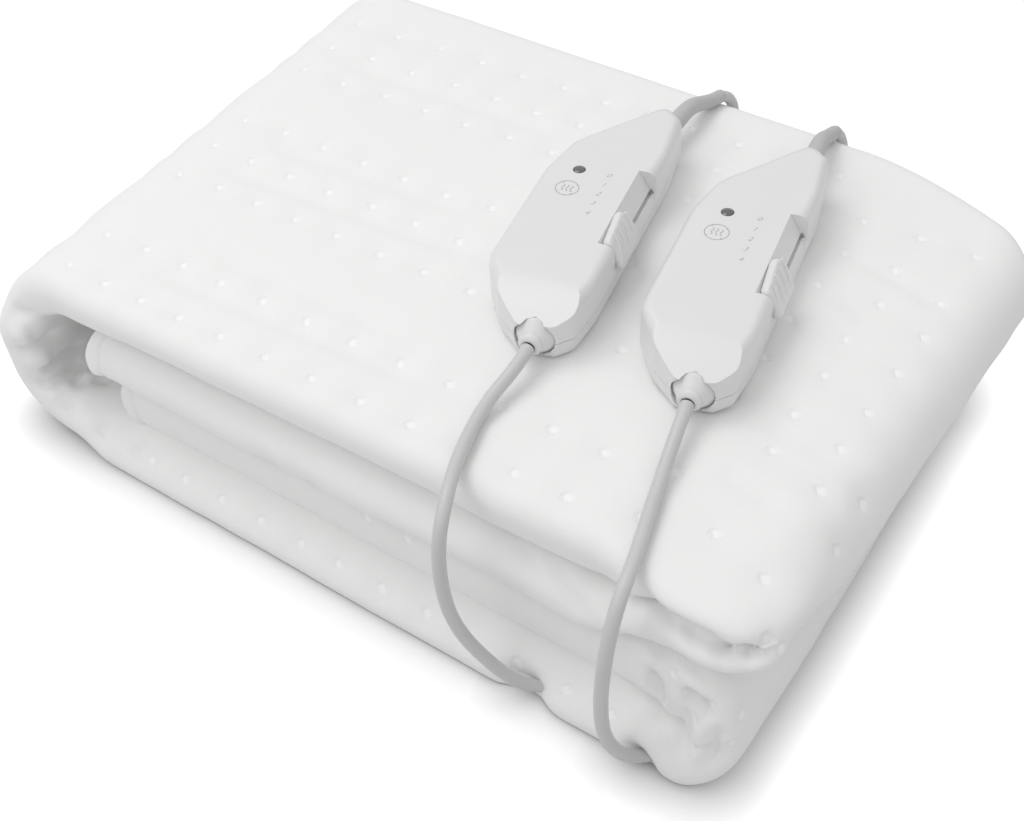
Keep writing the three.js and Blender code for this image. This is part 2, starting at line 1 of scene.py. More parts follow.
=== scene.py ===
# %% [markdown]
# # A folded heated mattress pad with two hand controllers
#
# The pad is white padded cloth, welded in small spots, and folded into a block. Two hand
# controllers lie on it, with a cord at each end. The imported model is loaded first. It is the
# frame that every piece here fits into: nothing in it is moved, and pieces that need a softer
# or finer shape are made new and stand in its solids' places.

import math

import bmesh
import bpy
import numpy as np
from mathutils import Matrix, Vector, noise


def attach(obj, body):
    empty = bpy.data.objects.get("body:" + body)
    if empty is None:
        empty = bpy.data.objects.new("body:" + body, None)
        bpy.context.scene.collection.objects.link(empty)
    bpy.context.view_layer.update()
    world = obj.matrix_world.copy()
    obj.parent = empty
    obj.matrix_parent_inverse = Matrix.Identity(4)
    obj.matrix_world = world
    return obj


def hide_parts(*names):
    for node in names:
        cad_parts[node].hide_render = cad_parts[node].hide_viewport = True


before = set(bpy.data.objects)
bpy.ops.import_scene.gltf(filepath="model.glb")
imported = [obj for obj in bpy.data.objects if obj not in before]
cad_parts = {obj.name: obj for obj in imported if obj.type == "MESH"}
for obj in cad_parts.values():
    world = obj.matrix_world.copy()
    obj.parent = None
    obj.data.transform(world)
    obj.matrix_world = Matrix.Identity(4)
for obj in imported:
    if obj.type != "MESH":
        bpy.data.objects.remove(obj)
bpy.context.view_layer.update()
MM = 0.001
ROOT_BODY = "folded_pad"

# %% [markdown]
# ## Camera
#
# The camera stands in front of the pad's right half, a little higher than the pad is wide, and
# looks down at it from about 45 degrees. It is turned a few degrees about its own line of sight,
# so the turn is given as three directions and not as a target to look at.

# %% Camera
CAMERA_AT = Vector((0.2801, -0.3819, 0.4611))
CAMERA_RIGHT = Vector((0.8344, 0.5494, -0.0448))
CAMERA_UP = Vector((-0.3653, 0.6120, 0.7014))
CAMERA_LENS = 47.36  # on a sensor 36 mm wide


def placed(name, data):
    """A new object in the scene."""
    made = bpy.data.objects.new(name, data)
    bpy.context.scene.collection.objects.link(made)
    return made


camera_data = bpy.data.cameras.new("camera")
camera_data.lens = CAMERA_LENS
camera_data.clip_start = 0.01
camera = placed("camera", camera_data)
camera_back = CAMERA_RIGHT.cross(CAMERA_UP)
camera.matrix_world = Matrix.Translation(CAMERA_AT) @ Matrix(
    (CAMERA_RIGHT, CAMERA_UP, camera_back)
).transposed().to_4x4()
bpy.context.scene.camera = camera
print("camera looks", [round(v, 3) for v in -camera_back])

# %% [markdown]
# ## The pad
#
# The pad is one long strip of padded cloth. Seen from the front, the strip starts at its upper
# end inside, runs to the right, turns back over itself, runs to the left along the top, hangs
# down in an open loop, runs to the right along the floor, turns once more and ends inside. So
# the shape is a flat oval tube that follows a folded line. It is made from one grid: its long
# direction is laid along the line, its short one round the oval, and the edges that meet are
# merged.

# %% The line that the strip follows
STRIP_THICKNESS = 23.2 * MM
HALF = STRIP_THICKNESS / 2
LEVEL_STEP = 24.6 * MM
LEVELS = [HALF + k * LEVEL_STEP for k in range(4)]
TURN_RADIUS = LEVEL_STEP / 2
UPPER_TURN_X, LOWER_TURN_X = 182 * MM, 171 * MM
UPPER_END_X, LOWER_END_X = -140 * MM, -131 * MM
LOOP_X = -189.2 * MM
LOOP_TOP_RADIUS, LOOP_FOOT_RADIUS = 40 * MM, 21 * MM


def straight(start, end):
    def at(t):
        return np.outer(1 - t, start) + np.outer(t, end)
    return at, math.dist(start, end)


def bend(centre, radius, start_degrees, end_degrees):
    def at(t):
        angle = np.radians(start_degrees + (end_degrees - start_degrees) * t)
        return np.array(centre) + radius * np.stack([np.cos(angle), np.sin(angle)], 1)
    return at, radius * math.radians(abs(end_degrees - start_degrees))


loop_top = (LOOP_X + LOOP_TOP_RADIUS, LEVELS[3] - LOOP_TOP_RADIUS)
loop_foot = (LOOP_X + LOOP_FOOT_RADIUS, LEVELS[0] + LOOP_FOOT_RADIUS)
STRETCHES = [  # each with the spacing of its rows
    (straight((UPPER_END_X, LEVELS[2]), (UPPER_TURN_X, LEVELS[2])), 3 * MM),
    (bend((UPPER_TURN_X, LEVELS[2] + TURN_RADIUS), TURN_RADIUS, -90, 90), 1.4 * MM),
    (straight((UPPER_TURN_X, LEVELS[3]), (loop_top[0], LEVELS[3])), 2.2 * MM),
    (bend(loop_top, LOOP_TOP_RADIUS, 90, 180), 2 * MM),
    (straight((LOOP_X, loop_top[1]), (LOOP_X, loop_foot[1])), 2 * MM),
    (bend(loop_foot, LOOP_FOOT_RADIUS, 180, 270), 1.8 * MM),
    (straight((loop_foot[0], LEVELS[0]), (LOWER_TURN_X, LEVELS[0])), 2.6 * MM),
    (bend((LOWER_TURN_X, LEVELS[0] + TURN_RADIUS), TURN_RADIUS, -90, 90), 1.4 * MM),
    (straight((LOWER_TURN_X, LEVELS[1]), (LOWER_END_X, LEVELS[1])), 3 * MM),
]
END_ROWS = np.array([0, 0.3, 1, 2, 3, 4, 5, 6, 7, 8, 8.7, 9.3, 10, 11, 12.5]) * MM  # for the hem

starts = np.cumsum([0.0] + [length for (_, length), _ in STRETCHES])
STRIP_LENGTH = starts[-1]
rows = [END_ROWS]
for ((_, length), spacing), begin in zip(STRETCHES, starts):
    count = round(length / spacing)
    rows.append(begin + np.arange(count) * length / count)
row_along = np.concatenate(rows)
between_hems = (row_along > END_ROWS[-1]) & (row_along < STRIP_LENGTH - END_ROWS[-1])
row_along = np.unique(row_along[between_hems])
row_along = np.concatenate([END_ROWS, row_along, STRIP_LENGTH - END_ROWS[::-1]])


ROUNDING = 1e-9  # metres
NUDGE = 1e-3  # share of a stretch, to find its direction


def middle_of_strip(along):
    """Where the strip's middle is, and its direction to the inside of the folds, that far along."""
    at = np.zeros((len(along), 2))
    ahead = np.zeros((len(along), 2))
    for ((place, length), _), begin in zip(STRETCHES, starts):
        here = (along >= begin) & (along <= begin + length + ROUNDING)
        t = (along[here] - begin) / length
        at[here] = place(t)
        ahead[here] = place(t + NUDGE) - place(t - NUDGE)
    ahead /= np.linalg.norm(ahead, axis=1)[:, None]
    return at, np.stack([-ahead[:, 1], ahead[:, 0]], 1)


print("strip is", round(STRIP_LENGTH, 3), "m long in", len(row_along), "rows")

# %% [markdown]
# The folds don't lie exactly over each other. Each level's front edge has its own place and
# slant, the loop at the left leans and its rim spreads, and the back corners are rounded.
# These functions move a point of the even fold to its real place.

# %% How the folds lie
PAD_DEPTH = 280 * MM
LEVEL_FRONTS = [-141.5, -128, -132.4, -130]  # Y of each level's front edge at X = 0, mm
LEVEL_SLOPES = [-0.02, -0.02, -0.018, 0]  # how far it comes forward for each mm to the right
RIGHT_END_FORWARD = [-1.5, -13, -3.5, -8]  # and at the turns, on top of that, mm
RIGHT_END_RISE = [0, 10, 22, 13, 0]  # rise of the levels' limits at the front right corner, mm
LEVEL_LIMITS = [0, 24.6, 49.2, 73.8, 97]
LOOP_FRONTS = [-136, -128]  # the front rim of the open loop, low down and at the top, mm
LEVEL_SAGS = [5, 0, 4, -1]  # how far each roll's lower half hangs forward, mm
FRONT_DROP = 8  # the lowest level is thinner at the front by this much, mm
# Stretches of X, Y or Z in mm over which one shape passes softly into the next:
RIGHT_END_X = (130, 175)
LOOP_SIDE_X = (130, 185)  # measured to the left
LOOP_RIM_Z = (52, 80)
BETWEEN_LEVELS = (0.35, 0.65)  # share of a level's height
SAG_LEFT_X = (-165, -135)
OFF_THE_ROLL = (1.1, 0.9)  # share of half a level's height
DROP_LEFT_X = (-165, -125)
DROP_REACH = (4, 24)  # behind the front edge
CORNER_X, CORNER_Y = (125, 172), (-125, -70)
LEAN_LEFT_X, LEAN_RIGHT_X = (60, 160), (60, 170)
LOOP_LEAN, TURN_LEAN = -0.07, 0.045  # mm to the side for each mm to the back
RIM_Y = (104, 142)  # measured to the front
RIM_FLARE = -3
# The back edge: its Y at X = 0, its slant, and how its two corners curve in.
BACK_Y, BACK_SLANT = 143.3, -0.043
BACK_RIGHT_X, BACK_RIGHT_CURVE, BACK_RIGHT_POWER = 112, 0.0212, 1.61
BACK_LEFT_X, BACK_LEFT_CURVE = -175, 0.02


def smooth_step(low, high, value):
    t = np.clip((value - low) / (high - low), 0, 1)
    return t * t * (3 - 2 * t)


def front_edge(x, z):
    """Y of the front edge in mm, for x and z in mm."""
    at_turn = smooth_step(*RIGHT_END_X, x)
    fronts = [
        front + slope * x + forward * at_turn
        for front, slope, forward in zip(LEVEL_FRONTS, LEVEL_SLOPES, RIGHT_END_FORWARD)
    ]
    edge = fronts[0]
    for level in (1, 2, 3):
        share = (z - LEVELS[level - 1] / MM) / (LEVEL_STEP / MM)
        edge = edge + (fronts[level] - edge) * smooth_step(*BETWEEN_LEVELS, share)
    at_loop = smooth_step(*LOOP_SIDE_X, -x)
    low, high = LOOP_FRONTS
    rim = low + (high - low) * smooth_step(*LOOP_RIM_Z, z)
    return edge + (rim - edge) * at_loop


def sag(x, z):
    """How far the lower half of each level's roll hangs forward of its upper half, in mm."""
    hang = 0
    for level, most in enumerate(LEVEL_SAGS):
        share = (z - LEVELS[level] / MM) / (LEVEL_STEP / MM / 2)
        hang = hang + most * share * smooth_step(*OFF_THE_ROLL, np.abs(share))
    return hang * smooth_step(*SAG_LEFT_X, x)


def back_edge(x):
    right = BACK_RIGHT_CURVE * np.maximum(0, x - BACK_RIGHT_X) ** BACK_RIGHT_POWER
    left = BACK_LEFT_CURVE * np.maximum(0, BACK_LEFT_X - x) ** 2
    return BACK_Y + BACK_SLANT * x - right - left


def settle(points):
    """Moves points of the evenly folded pad to where the uneven folds lie, in metres."""
    x, y, z = (points / MM).T
    across = y * MM / PAD_DEPTH + 0.5
    settled = (front_edge(x, z) + sag(x, z)) * (1 - across) + back_edge(x) * across
    loop = smooth_step(*LEAN_LEFT_X, -x)
    level = LEVEL_STEP / MM
    upper = smooth_step(1.5 * level, 2.5 * level, z)
    lean = LOOP_LEAN * loop + TURN_LEAN * smooth_step(*LEAN_RIGHT_X, x) * upper
    flare = RIM_FLARE * loop * smooth_step(*RIM_Y, -settled)
    near_front = 1 - smooth_step(*DROP_REACH, settled - front_edge(x, z))
    low_levels = np.clip(1 - np.abs(z / level - 1), 0, 1)
    drop = FRONT_DROP * near_front * low_levels * smooth_step(*DROP_LEFT_X, x)
    corner = smooth_step(*CORNER_X, x) * (1 - smooth_step(*CORNER_Y, settled))
    rise = corner * np.interp(z, LEVEL_LIMITS, RIGHT_END_RISE)
    return np.stack([x + lean * settled + flare, settled, z - drop * (1 - corner) + rise], 1) * MM


for x in (-150, 0, 150):
    edges = [round(float(front_edge(x, middle / MM)), 1) for middle in LEVELS]
    print("at X =", x, "the levels' front edges are at Y =", edges, "and the back at",
          round(float(back_edge(x)), 1))

# %% [markdown]
# The oval section has a flat run on each face and a round roll at each fold line. Its places
# are the same on both faces, so that the faces meet point to point at the strip's two ends.

# %% Wrap a grid round the strip
ROLL_DEPTH = 12.5 * MM
ROLL_STEPS = 11
FACE_STEP = 2.4 * MM
face_count = round((PAD_DEPTH - 2 * ROLL_DEPTH) / FACE_STEP)
quarter = np.linspace(0, math.pi / 2, ROLL_STEPS + 1)
ROUNDNESS = 0.86  # below 1 makes the roll fuller than a circle
SQUARE_REACH = 16 * MM
MERGE = 0.01 * MM  # points closer than this are one
END_ROUND = 4 * MM  # the strip's free ends are cut square, with a soft hem
END_SQUARENESS = 0.62  # 1 would make the section at the ends a rectangle
roll_in = ROLL_DEPTH * (1 - np.cos(quarter) ** ROUNDNESS)
roll_out = HALF * np.sin(quarter) ** ROUNDNESS
face = np.linspace(ROLL_DEPTH, PAD_DEPTH - ROLL_DEPTH, face_count + 1)[1:-1]
half_in = np.concatenate([roll_in, face, PAD_DEPTH - roll_in[::-1]])
half_out = np.concatenate([roll_out, np.full(len(face), HALF), roll_out[::-1]])
# front to back on the outside, then back to front on the inside
section_in = np.concatenate([half_in, half_in[-2:0:-1]])
section_out = np.concatenate([half_out, -half_out[-2:0:-1]])


def mesh_of(shape, name):
    """The mesh of a bmesh that is no longer needed."""
    mesh = bpy.data.meshes.new(name)
    shape.to_mesh(mesh)
    shape.free()
    return mesh


strip_bm = bmesh.new()
bmesh.ops.create_grid(
    strip_bm, x_segments=len(row_along) - 1, y_segments=len(section_in), size=0.5, calc_uvs=False
)
grid = np.array([v.co for v in strip_bm.verts])
row = np.rint((grid[:, 0] + 0.5) * (len(row_along) - 1)).astype(int)
column = np.rint((grid[:, 1] + 0.5) * len(section_in)).astype(int) % len(section_in)

along = row_along[row]
middle, inward = middle_of_strip(along)
from_end = np.minimum(along, STRIP_LENGTH - along)
fullness = np.sqrt(np.clip(1 - (1 - np.minimum(from_end, END_ROUND) / END_ROUND) ** 2, 0, 1))
squareness = 1 - END_SQUARENESS * smooth_step(SQUARE_REACH, 0, from_end)
share_out = np.abs(section_out[column]) / HALF
out = np.sign(section_out[column]) * HALF * share_out**squareness * fullness
even = np.stack([
    middle[:, 0] - inward[:, 0] * out,
    section_in[column] - PAD_DEPTH / 2,
    middle[:, 1] - inward[:, 1] * out,
], 1)
for vertex, at in zip(strip_bm.verts, settle(even)):
    vertex.co = at
along_layer = strip_bm.verts.layers.float.new("along")
for vertex, distance in zip(strip_bm.verts, along):
    vertex[along_layer] = distance
bmesh.ops.remove_doubles(strip_bm, verts=strip_bm.verts, dist=MERGE)
bmesh.ops.recalc_face_normals(strip_bm, faces=strip_bm.faces)
print("pad has", len(strip_bm.verts), "points, open edges:",
      sum(e.is_boundary for e in strip_bm.edges))
pad_mesh = mesh_of(strip_bm, "padded_strip")
pad = placed(pad_mesh.name, pad_mesh)


# %% [markdown]
# The cloth is held together in small round welds, in rows that run along the strip, three rows
# and then a wider band. Around a weld the filling lifts the cloth into a soft puff. The distance
# of each point from its nearest weld is kept on the mesh: it lifts the puffs here, and the
# cloth's material uses it for the small pressed dots.

# %% Where the welds are
WELD_PITCH = 24 * MM
ROW_PLACES = [110.9, 85.8, 60.8, 10.7, -14.4, -39.5, -89.6, -114.6]  # Y of each row on top, mm
FIRST_WELD_X = 182.8 * MM  # nearest to the upper turn
FIRST_EVEN_WELD, LAST_EVEN_WELD = 3, 25  # along the top and down the loop's outside


def on_outside(along, y):
    """The point of the strip's outer face that far along, at that Y after the folds are settled."""
    middle, inward = middle_of_strip(np.array([along]))
    x, z = middle[0] - inward[0] * HALF
    front = front_edge(np.array([x / MM]), np.array([z / MM]))[0] * MM
    back = back_edge(np.array([x / MM]))[0] * MM
    even_y = ((y - front) / (back - front) - 0.5) * PAD_DEPTH
    return settle(np.array([[x, even_y, z]]))[0]


top_start = starts[2]
welds = [
    on_outside(top_start + UPPER_TURN_X - FIRST_WELD_X + k * WELD_PITCH, y * MM)
    for k in range(FIRST_EVEN_WELD, LAST_EVEN_WELD + 1) for y in ROW_PLACES
]
# rows that show on the front rolls: first X, Y, Z, pitch, count, and rise of each step, mm
FRONT_ROWS = [
    (-106, -141, 21, 22.7, 12, -0.6),
    (-25, -136, 46, 21.5, 4, -1.8),
]
for x, y, z, pitch, count, rise in FRONT_ROWS:
    welds += [np.array([x + k * pitch, y, z + k * rise]) * MM for k in range(count)]
LONE_WELDS = [  # the cloth is pulled out of line where it turns, so these stand alone, mm
    (163, 36, 97), (185, 49, 97), (185, 26, 97), (161, -12, 97), (185, -23, 97), (160, -38, 97),
    (161, -59, 97), (183, -46, 97), (185, -68, 97), (199, -59, 90), (185, -113, 97),
    (162, -104, 97), (202, -82, 90), (203, -129, 85), (137, -85, 97), (137, -112, 97),
    (166, -147, 65), (185, -147, 57), (199, -147, 39), (204, -135, 106), (200, -135, 52),
    (161, 85, 97), (185, 85, 97), (161, 60, 97), (137, 60, 97), (137, 85, 97), (137, 36, 97),
    (137, -14, 97), (137, -39, 97), (137, 10, 97), (161, 10, 97), (185, 3, 97),
    (-203, -58, 53), (-203, -83, 46), (-203, -96, 59), (-203, -67, 24),
]
welds = np.array([*welds, *(np.array(LONE_WELDS) * MM)])


def mesh_array(collection, name, width):
    values = np.empty(len(collection) * width)
    collection.foreach_get(name, values)
    return values.reshape(-1, width) if width > 1 else values


places = mesh_array(pad_mesh.vertices, "co", 3)
normals = mesh_array(pad_mesh.vertex_normals, "vector", 3)
nearest_point = [np.argmin(((places - weld) ** 2).sum(1)) for weld in welds]
welds, weld_normals = places[nearest_point], normals[nearest_point]
print(len(welds), "welds")

# %% Puffs around the welds
PUFF_HEIGHT = 1.5 * MM
PUFF_REACH = 8 * MM
PUFF_SHARPNESS = 1.5
PUFF_SHARE = 0.4  # of the height, above the even cloth; the rest is the pit
WELD_REACH = 12 * MM
WELD_SEARCH = 40 * MM
FACING = (-0.1, 0.5)  # cosines between which a point counts as on the weld's own face
OTHER_FACE = 30 * MM  # is added to the distance on another face

from_weld = np.full(len(places), 1.0)
for weld, normal in zip(welds, weld_normals):
    near = np.abs(places - weld).max(1) < WELD_SEARCH
    distance = np.linalg.norm(places[near] - weld, axis=1)
    distance += OTHER_FACE * (1 - smooth_step(*FACING, normals[near] @ normal))
    from_weld[near] = np.minimum(from_weld[near], distance)
lift = PUFF_HEIGHT * (PUFF_SHARE - np.exp(-(from_weld / PUFF_REACH) ** PUFF_SHARPNESS))
weld_layer = pad_mesh.attributes.new("from_weld", "FLOAT", "POINT")
weld_layer.data.foreach_set("value", np.minimum(from_weld, WELD_REACH) / MM)
print("puffs and pits, mm:", round(lift.max() / MM, 2), "to", round(lift.min() / MM, 2))


# %% [markdown]
# Cloth that is folded like this has creases and soft ridges. They are worked in the way that a
# sculptor works with a round tool: each stroke follows a short line on the surface, and presses
# the cloth in or lifts it out, most in its middle and less to its sides and ends.

# %% The stroke tool
STROKE_FADE = 0.2  # share of its length over which it fades at each end
STROKE_END = 0.25  # weight that is left at its ends


def stroke_weight(points, route, half_width):
    """1 on the stroke's line, softly less at its two ends, and falling to 0 beside it."""
    route = np.array(route) * MM
    lengths = np.linalg.norm(np.diff(route, axis=0), axis=1)
    nearest = np.full(len(points), 1.0)
    share = np.zeros(len(points))
    gone = 0.0
    for start, end, length in zip(route, route[1:], lengths):
        t = np.clip((points - start) @ (end - start) / length**2, 0, 1)
        aside = np.linalg.norm(points - start - t[:, None] * (end - start), axis=1)
        closer = aside < nearest
        nearest[closer] = aside[closer]
        share[closer] = (gone + t[closer] * length) / lengths.sum()
        gone += length
    ends = smooth_step(0, STROKE_FADE, share) * smooth_step(0, STROKE_FADE, 1 - share)
    weight = STROKE_END + (1 - STROKE_END) * ends
    return weight * np.exp(-(nearest / (half_width * MM)) ** 2)


# %% Creases and ridges
STROKES = [  # height out of the surface (below 0 pressed in), half width, then the line, all in mm
    # long grooves along the top, where the cloth bends between rows of welds
    (-2.0, 6, (-150, 76, 97), (-4, 74, 97)),
    (-1.6, 6, (-137, -1, 97), (-10, 4, 97)),
    (-2.0, 6, (-153, -27, 97), (14, -19, 97)),
    (-1.6, 6, (-103, -77, 97), (14, -77, 97)),
    (-2.0, 6, (-123, -99, 97), (45, -93, 97)),
    (-1.6, 5, (136, 62, 97), (187, 48, 97)),
    (-1.2, 5, (146, 33, 97), (167, 22, 97)),
    (-1.4, 5, (150, -47, 97), (186, -52, 97)),
    (-1.4, 5, (149, -78, 97), (177, -82, 97)),
    # soft valleys under the edges of the upper two levels
    (-2.2, 5, (-125, -131, 77), (-60, -130, 77), (0, -128, 76), (45, -128, 76), (75, -129, 77)),
    (1.2, 6, (-110, -133, 63), (-40, -133, 62), (60, -135, 62), (125, -136, 66)),
    (-1.6, 5, (20, -136, 50), (70, -136, 51), (115, -136, 55)),
    # creases and ridges on the outside of the open loop
    (-3.4, 3.2, (-178, -134, 70), (-166, -129, 70), (-163, -118, 64)),
    (-4.0, 3.0, (-180, -136, 47), (-172, -131, 48), (-168, -118, 50)),
    (3.0, 5, (-177, -136, 57), (-171, -130, 58)),
    (3.4, 5, (-175, -135, 40), (-170, -126, 41)),
    (-4.6, 3.0, (-175, -133, 33), (-170, -122, 34), (-170, -105, 33)),
    (-4.0, 3.2, (-179, -136, 26), (-170, -130, 26), (-168, -122, 27), (-167, -110, 27)),
    (3.6, 4.5, (-169, -134, 20), (-163, -124, 23)),
    (2.8, 4.5, (-163, -119, 24), (-156, -116, 24)),
    (-3.2, 3.0, (-162, -124, 24), (-155, -116, 24), (-148, -112, 24)),
    (-3.0, 3.5, (-158, -137, 18), (-155, -131, 21)),
    (-3.0, 3.5, (-137, -137, 14), (-134, -131, 18)),
    (-2.6, 3.5, (-115, -137, 12), (-112, -131, 16)),
    # folds across the inside of the loop
    (-3.0, 5, (-168, -100, 78), (-163, -60, 80), (-160, -20, 78)),
    (2.6, 5, (-170, -110, 66), (-168, -60, 68), (-168, -20, 66)),
    # creases near the two right front turns
    (-2.2, 3, (94, -127, 72), (102, -130, 66), (111, -131, 61)),
    (-2.2, 3, (110, -128, 71), (119, -132, 66), (128, -134, 61)),
    (-3.2, 3, (147, -132, 92), (158, -137, 88), (164, -135, 80)),
    (2.6, 4, (139, -130, 84), (150, -135, 82), (160, -138, 76)),
    (-2.6, 3, (136, -132, 72), (150, -134, 63), (164, -137, 62)),
    (2.4, 4, (165, -140, 84), (174, -141, 79), (184, -140, 80)),
    (-9, 3, (164, -139, 88), (169, -139, 86), (173, -137, 82)),
    (-9, 3, (174, -139, 88), (179, -138, 85), (184, -137, 82)),
    (-8, 3.4, (187, -137, 86), (193, -133, 88), (198, -127, 88)),
    (2.0, 3.5, (190, -138, 82), (198, -131, 82), (202, -122, 82)),
    (-8.5, 3, (158, -140, 53), (161, -142, 48), (162, -142, 42)),
    (-9, 3.2, (172, -143, 57), (177, -144, 55), (183, -144, 52)),
    (2.2, 3.5, (166, -143, 44), (168, -144, 32), (168, -143, 20)),
    (-3.6, 2.8, (174, -144, 50), (175, -145, 38), (175, -144, 24)),
    (2.4, 3.2, (181, -145, 46), (181, -145, 34), (180, -144, 20)),
    (-3.0, 2.8, (188, -143, 48), (187, -144, 36), (186, -143, 22)),
    (-2.0, 3, (160, -141, 38), (161, -141, 28), (162, -139, 18)),
    # where the two pad leads go in under the front edge
    (-10, 6, (95, -147, 11), (102, -145, 8), (109, -140, 5), (116, -134, 4)),
    (-6, 4.5, (152, -155, 16), (155, -151, 9), (159, -146, 6), (165, -138, 4)),
    # edge of the upper turn's lower rim
    (-2.6, 3, (168, -137, 67), (180, -140, 68), (192, -136, 66), (198, -124, 62)),
]
for height, half_width, *route in STROKES:
    lift += height * MM * stroke_weight(places, route, half_width)
print(len(STROKES), "strokes, mm:", round(lift.max() / MM, 2), "to", round(lift.min() / MM, 2))


# %% Uneven filling, and the floor under the pad
UNEVENNESS = 0.8 * MM
LUMPS = [(0.8, 0.075, 0.03), (0.35, 0.022, 0.014)]  # share, and size along and across, m
HEM_WIDTH, HEM_DEPTH, HEM_SOFTNESS = 9 * MM, 0.9 * MM, 1.2 * MM
FLAT_FOOT, SOFT_FOOT = 0.2 * MM, 6 * MM  # below the first it lies flat on the floor

lift += UNEVENNESS * np.array([
    sum(share * noise.noise((x / along, y / across, z / across)) for share, along, across in LUMPS)
    for x, y, z in places
])
strip_end = mesh_array(pad_mesh.attributes["along"].data, "value", 1)
strip_end = np.minimum(strip_end, STRIP_LENGTH - strip_end)
lift -= HEM_DEPTH * np.exp(-((strip_end - HEM_WIDTH) / HEM_SOFTNESS) ** 2)
moved = places + normals * lift[:, None]
low = places[:, 2] < SOFT_FOOT
foot = smooth_step(FLAT_FOOT, SOFT_FOOT, places[low, 2])
moved[low, 2] = np.maximum(moved[low, 2] * foot, 0)
pad_mesh.vertices.foreach_set("co", moved.ravel())
pad_mesh.shade_smooth()
pad_mesh.update()
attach(pad, ROOT_BODY)
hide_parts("pad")
print("padded strip's height in mm:", round(moved[:, 2].max() / MM, 1))


# %% [markdown]
# The cloth is a white nonwoven: short fibres pressed flat, so it is matt, with a very fine
# uneven grain. At each weld both layers are melted together in a small dot, which is a little
# brighter than the cloth round it, and lies in a pit with a rounded rim.
#
# The grain is too fine for the mesh, so it is left to the material. A material is a tree of
# nodes. Two helpers add a node with its values and link the nodes from a list of rows, so that
# each tree can be read from top to bottom.

# %% Helpers for shader nodes
def shader_tree(owner):
    """The node tree of a new material or world, and its first shader."""
    owner.use_nodes = True
    tree = owner.node_tree
    return tree, next(n for n in tree.nodes if "OUTPUT" not in n.type)


def filled(node, values):
    """A node with these values in its inputs."""
    for name, value in values.items():
        node.inputs[name].default_value = value
    return node


def added(tree, kind, values=None, **settings):
    """A new shader node, with its settings and the values of its inputs."""
    node = tree.nodes.new("ShaderNode" + kind)
    for name, value in settings.items():
        setattr(node, name, value)
    return filled(node, values or {})


def wired(tree, *rows):
    """Links outputs to inputs, a row for each link."""
    for source, output, target, entry in rows:
        tree.links.new(source.outputs[output], target.inputs[entry])


# %% Cloth
DOT_RADIUS, RIM_RADIUS = 1.2, 3.4  # mm, as the distance on the mesh

cloth = bpy.data.materials.new("nonwoven_cloth")
tree, shader = shader_tree(cloth)
filled(shader, {"Roughness": 0.95, "Sheen Weight": 0.15})
weld_distance = added(tree, "Attribute", attribute_name="from_weld")
dot = added(
    tree, "MapRange", {"From Min": DOT_RADIUS, "From Max": RIM_RADIUS},
    interpolation_type="SMOOTHSTEP",
)
cloth_color = added(
    tree, "Mix", {6: (0.95, 0.95, 0.95, 1), 7: (0.88, 0.88, 0.876, 1)}, data_type="RGBA"
)
coords = added(tree, "TexCoord")
fibre = added(tree, "TexNoise", {"Scale": 900, "Detail": 4})
pit_bump = added(tree, "Bump", {"Strength": 0.5, "Distance": 1.0 * MM})
fibre_bump = added(tree, "Bump", {"Strength": 0.2, "Distance": 0.4 * MM})
wired(
    tree,
    (weld_distance, "Fac", dot, "Value"),
    (dot, "Result", cloth_color, "Factor"),
    (cloth_color, 2, shader, "Base Color"),
    (coords, "Object", fibre, "Vector"),
    (dot, "Result", pit_bump, "Height"),
    (fibre, "Fac", fibre_bump, "Height"),
    (pit_bump, "Normal", fibre_bump, "Normal"),
    (fibre_bump, "Normal", shader, "Normal"),
)
pad_mesh.materials.append(cloth)
print(cloth.name, "has", len(tree.nodes), "nodes")


# %% [markdown]
# ## Cords
#
# Each controller has a short lead to the pad and a long one to the mains. A cord is a round
# section on a smooth curve, so a curve object with a bevel is the natural way to make it: its
# points are the cord's middle, and Blender makes the tube. The mains leads go over the back
# edge, and the length that isn't in use is wound into a neat coil behind the pad.

# %% Sizes of the cords
CORD_DIAMETER = 5.4 * MM
COIL_PITCH = CORD_DIAMETER
COIL_RADIUS = 29.7 * MM
COIL_LOWEST = 4.3 * MM
# each turn's place, in widths out from the middle and up from the floor, as it is wound
COIL_PLACES = [(1, 0), (0, 0), (-1, 0), (-1, 1), (0, 1), (-1, 2), (0, 2), (1, 2), (1, 1)]
COIL_CHANGE = math.radians(45)  # over which the cord passes to the next place
COIL_STARTS_AT = math.radians(-90)
COIL_SWEEPS = [math.radians(90 + 8 * 360), math.radians(180 + 8 * 360)]
POINTS_PER_TURN = 14

PAD_LEADS = [
    [
        (61.87, -67.95, 107.8), (62.63, -71.88, 107.8), (62.5, -80, 105.6), (61, -90, 102.6),
        (61.6, -101, 101), (64, -112.5, 100.5), (67.4, -124, 100.5), (71.4, -134.5, 100.5),
        (75, -142.5, 100.2), (77.2, -148.8, 97), (78.3, -153, 90), (78.7, -155, 80),
        (79.3, -155.6, 68), (80.6, -155.8, 57), (83, -155.3, 47), (87.3, -153.8, 36.5),
        (92.7, -151.4, 27), (97.5, -149, 19), (102.5, -145.5, 11), (107.5, -141, 5), (113, -134, 3),
    ],
    [
        (128.77, -63.69, 107.8), (129.49, -67.63, 107.8), (131.3, -76, 105.4), (133.6, -88, 102),
        (136.2, -98, 100.9), (139, -109, 100.5), (142.2, -120, 100.5), (145, -130, 100.5),
        (147, -138.5, 100.5), (148.3, -145.8, 98.9), (149.1, -151.8, 93), (149.4, -156, 83.5),
        (149, -158, 70.5), (148.6, -159, 55), (149, -159, 40), (150, -158, 29.5),
        (151.8, -155, 18.5), (154, -151, 10), (158, -145.5, 4.4), (163, -139, 3),
    ],
]
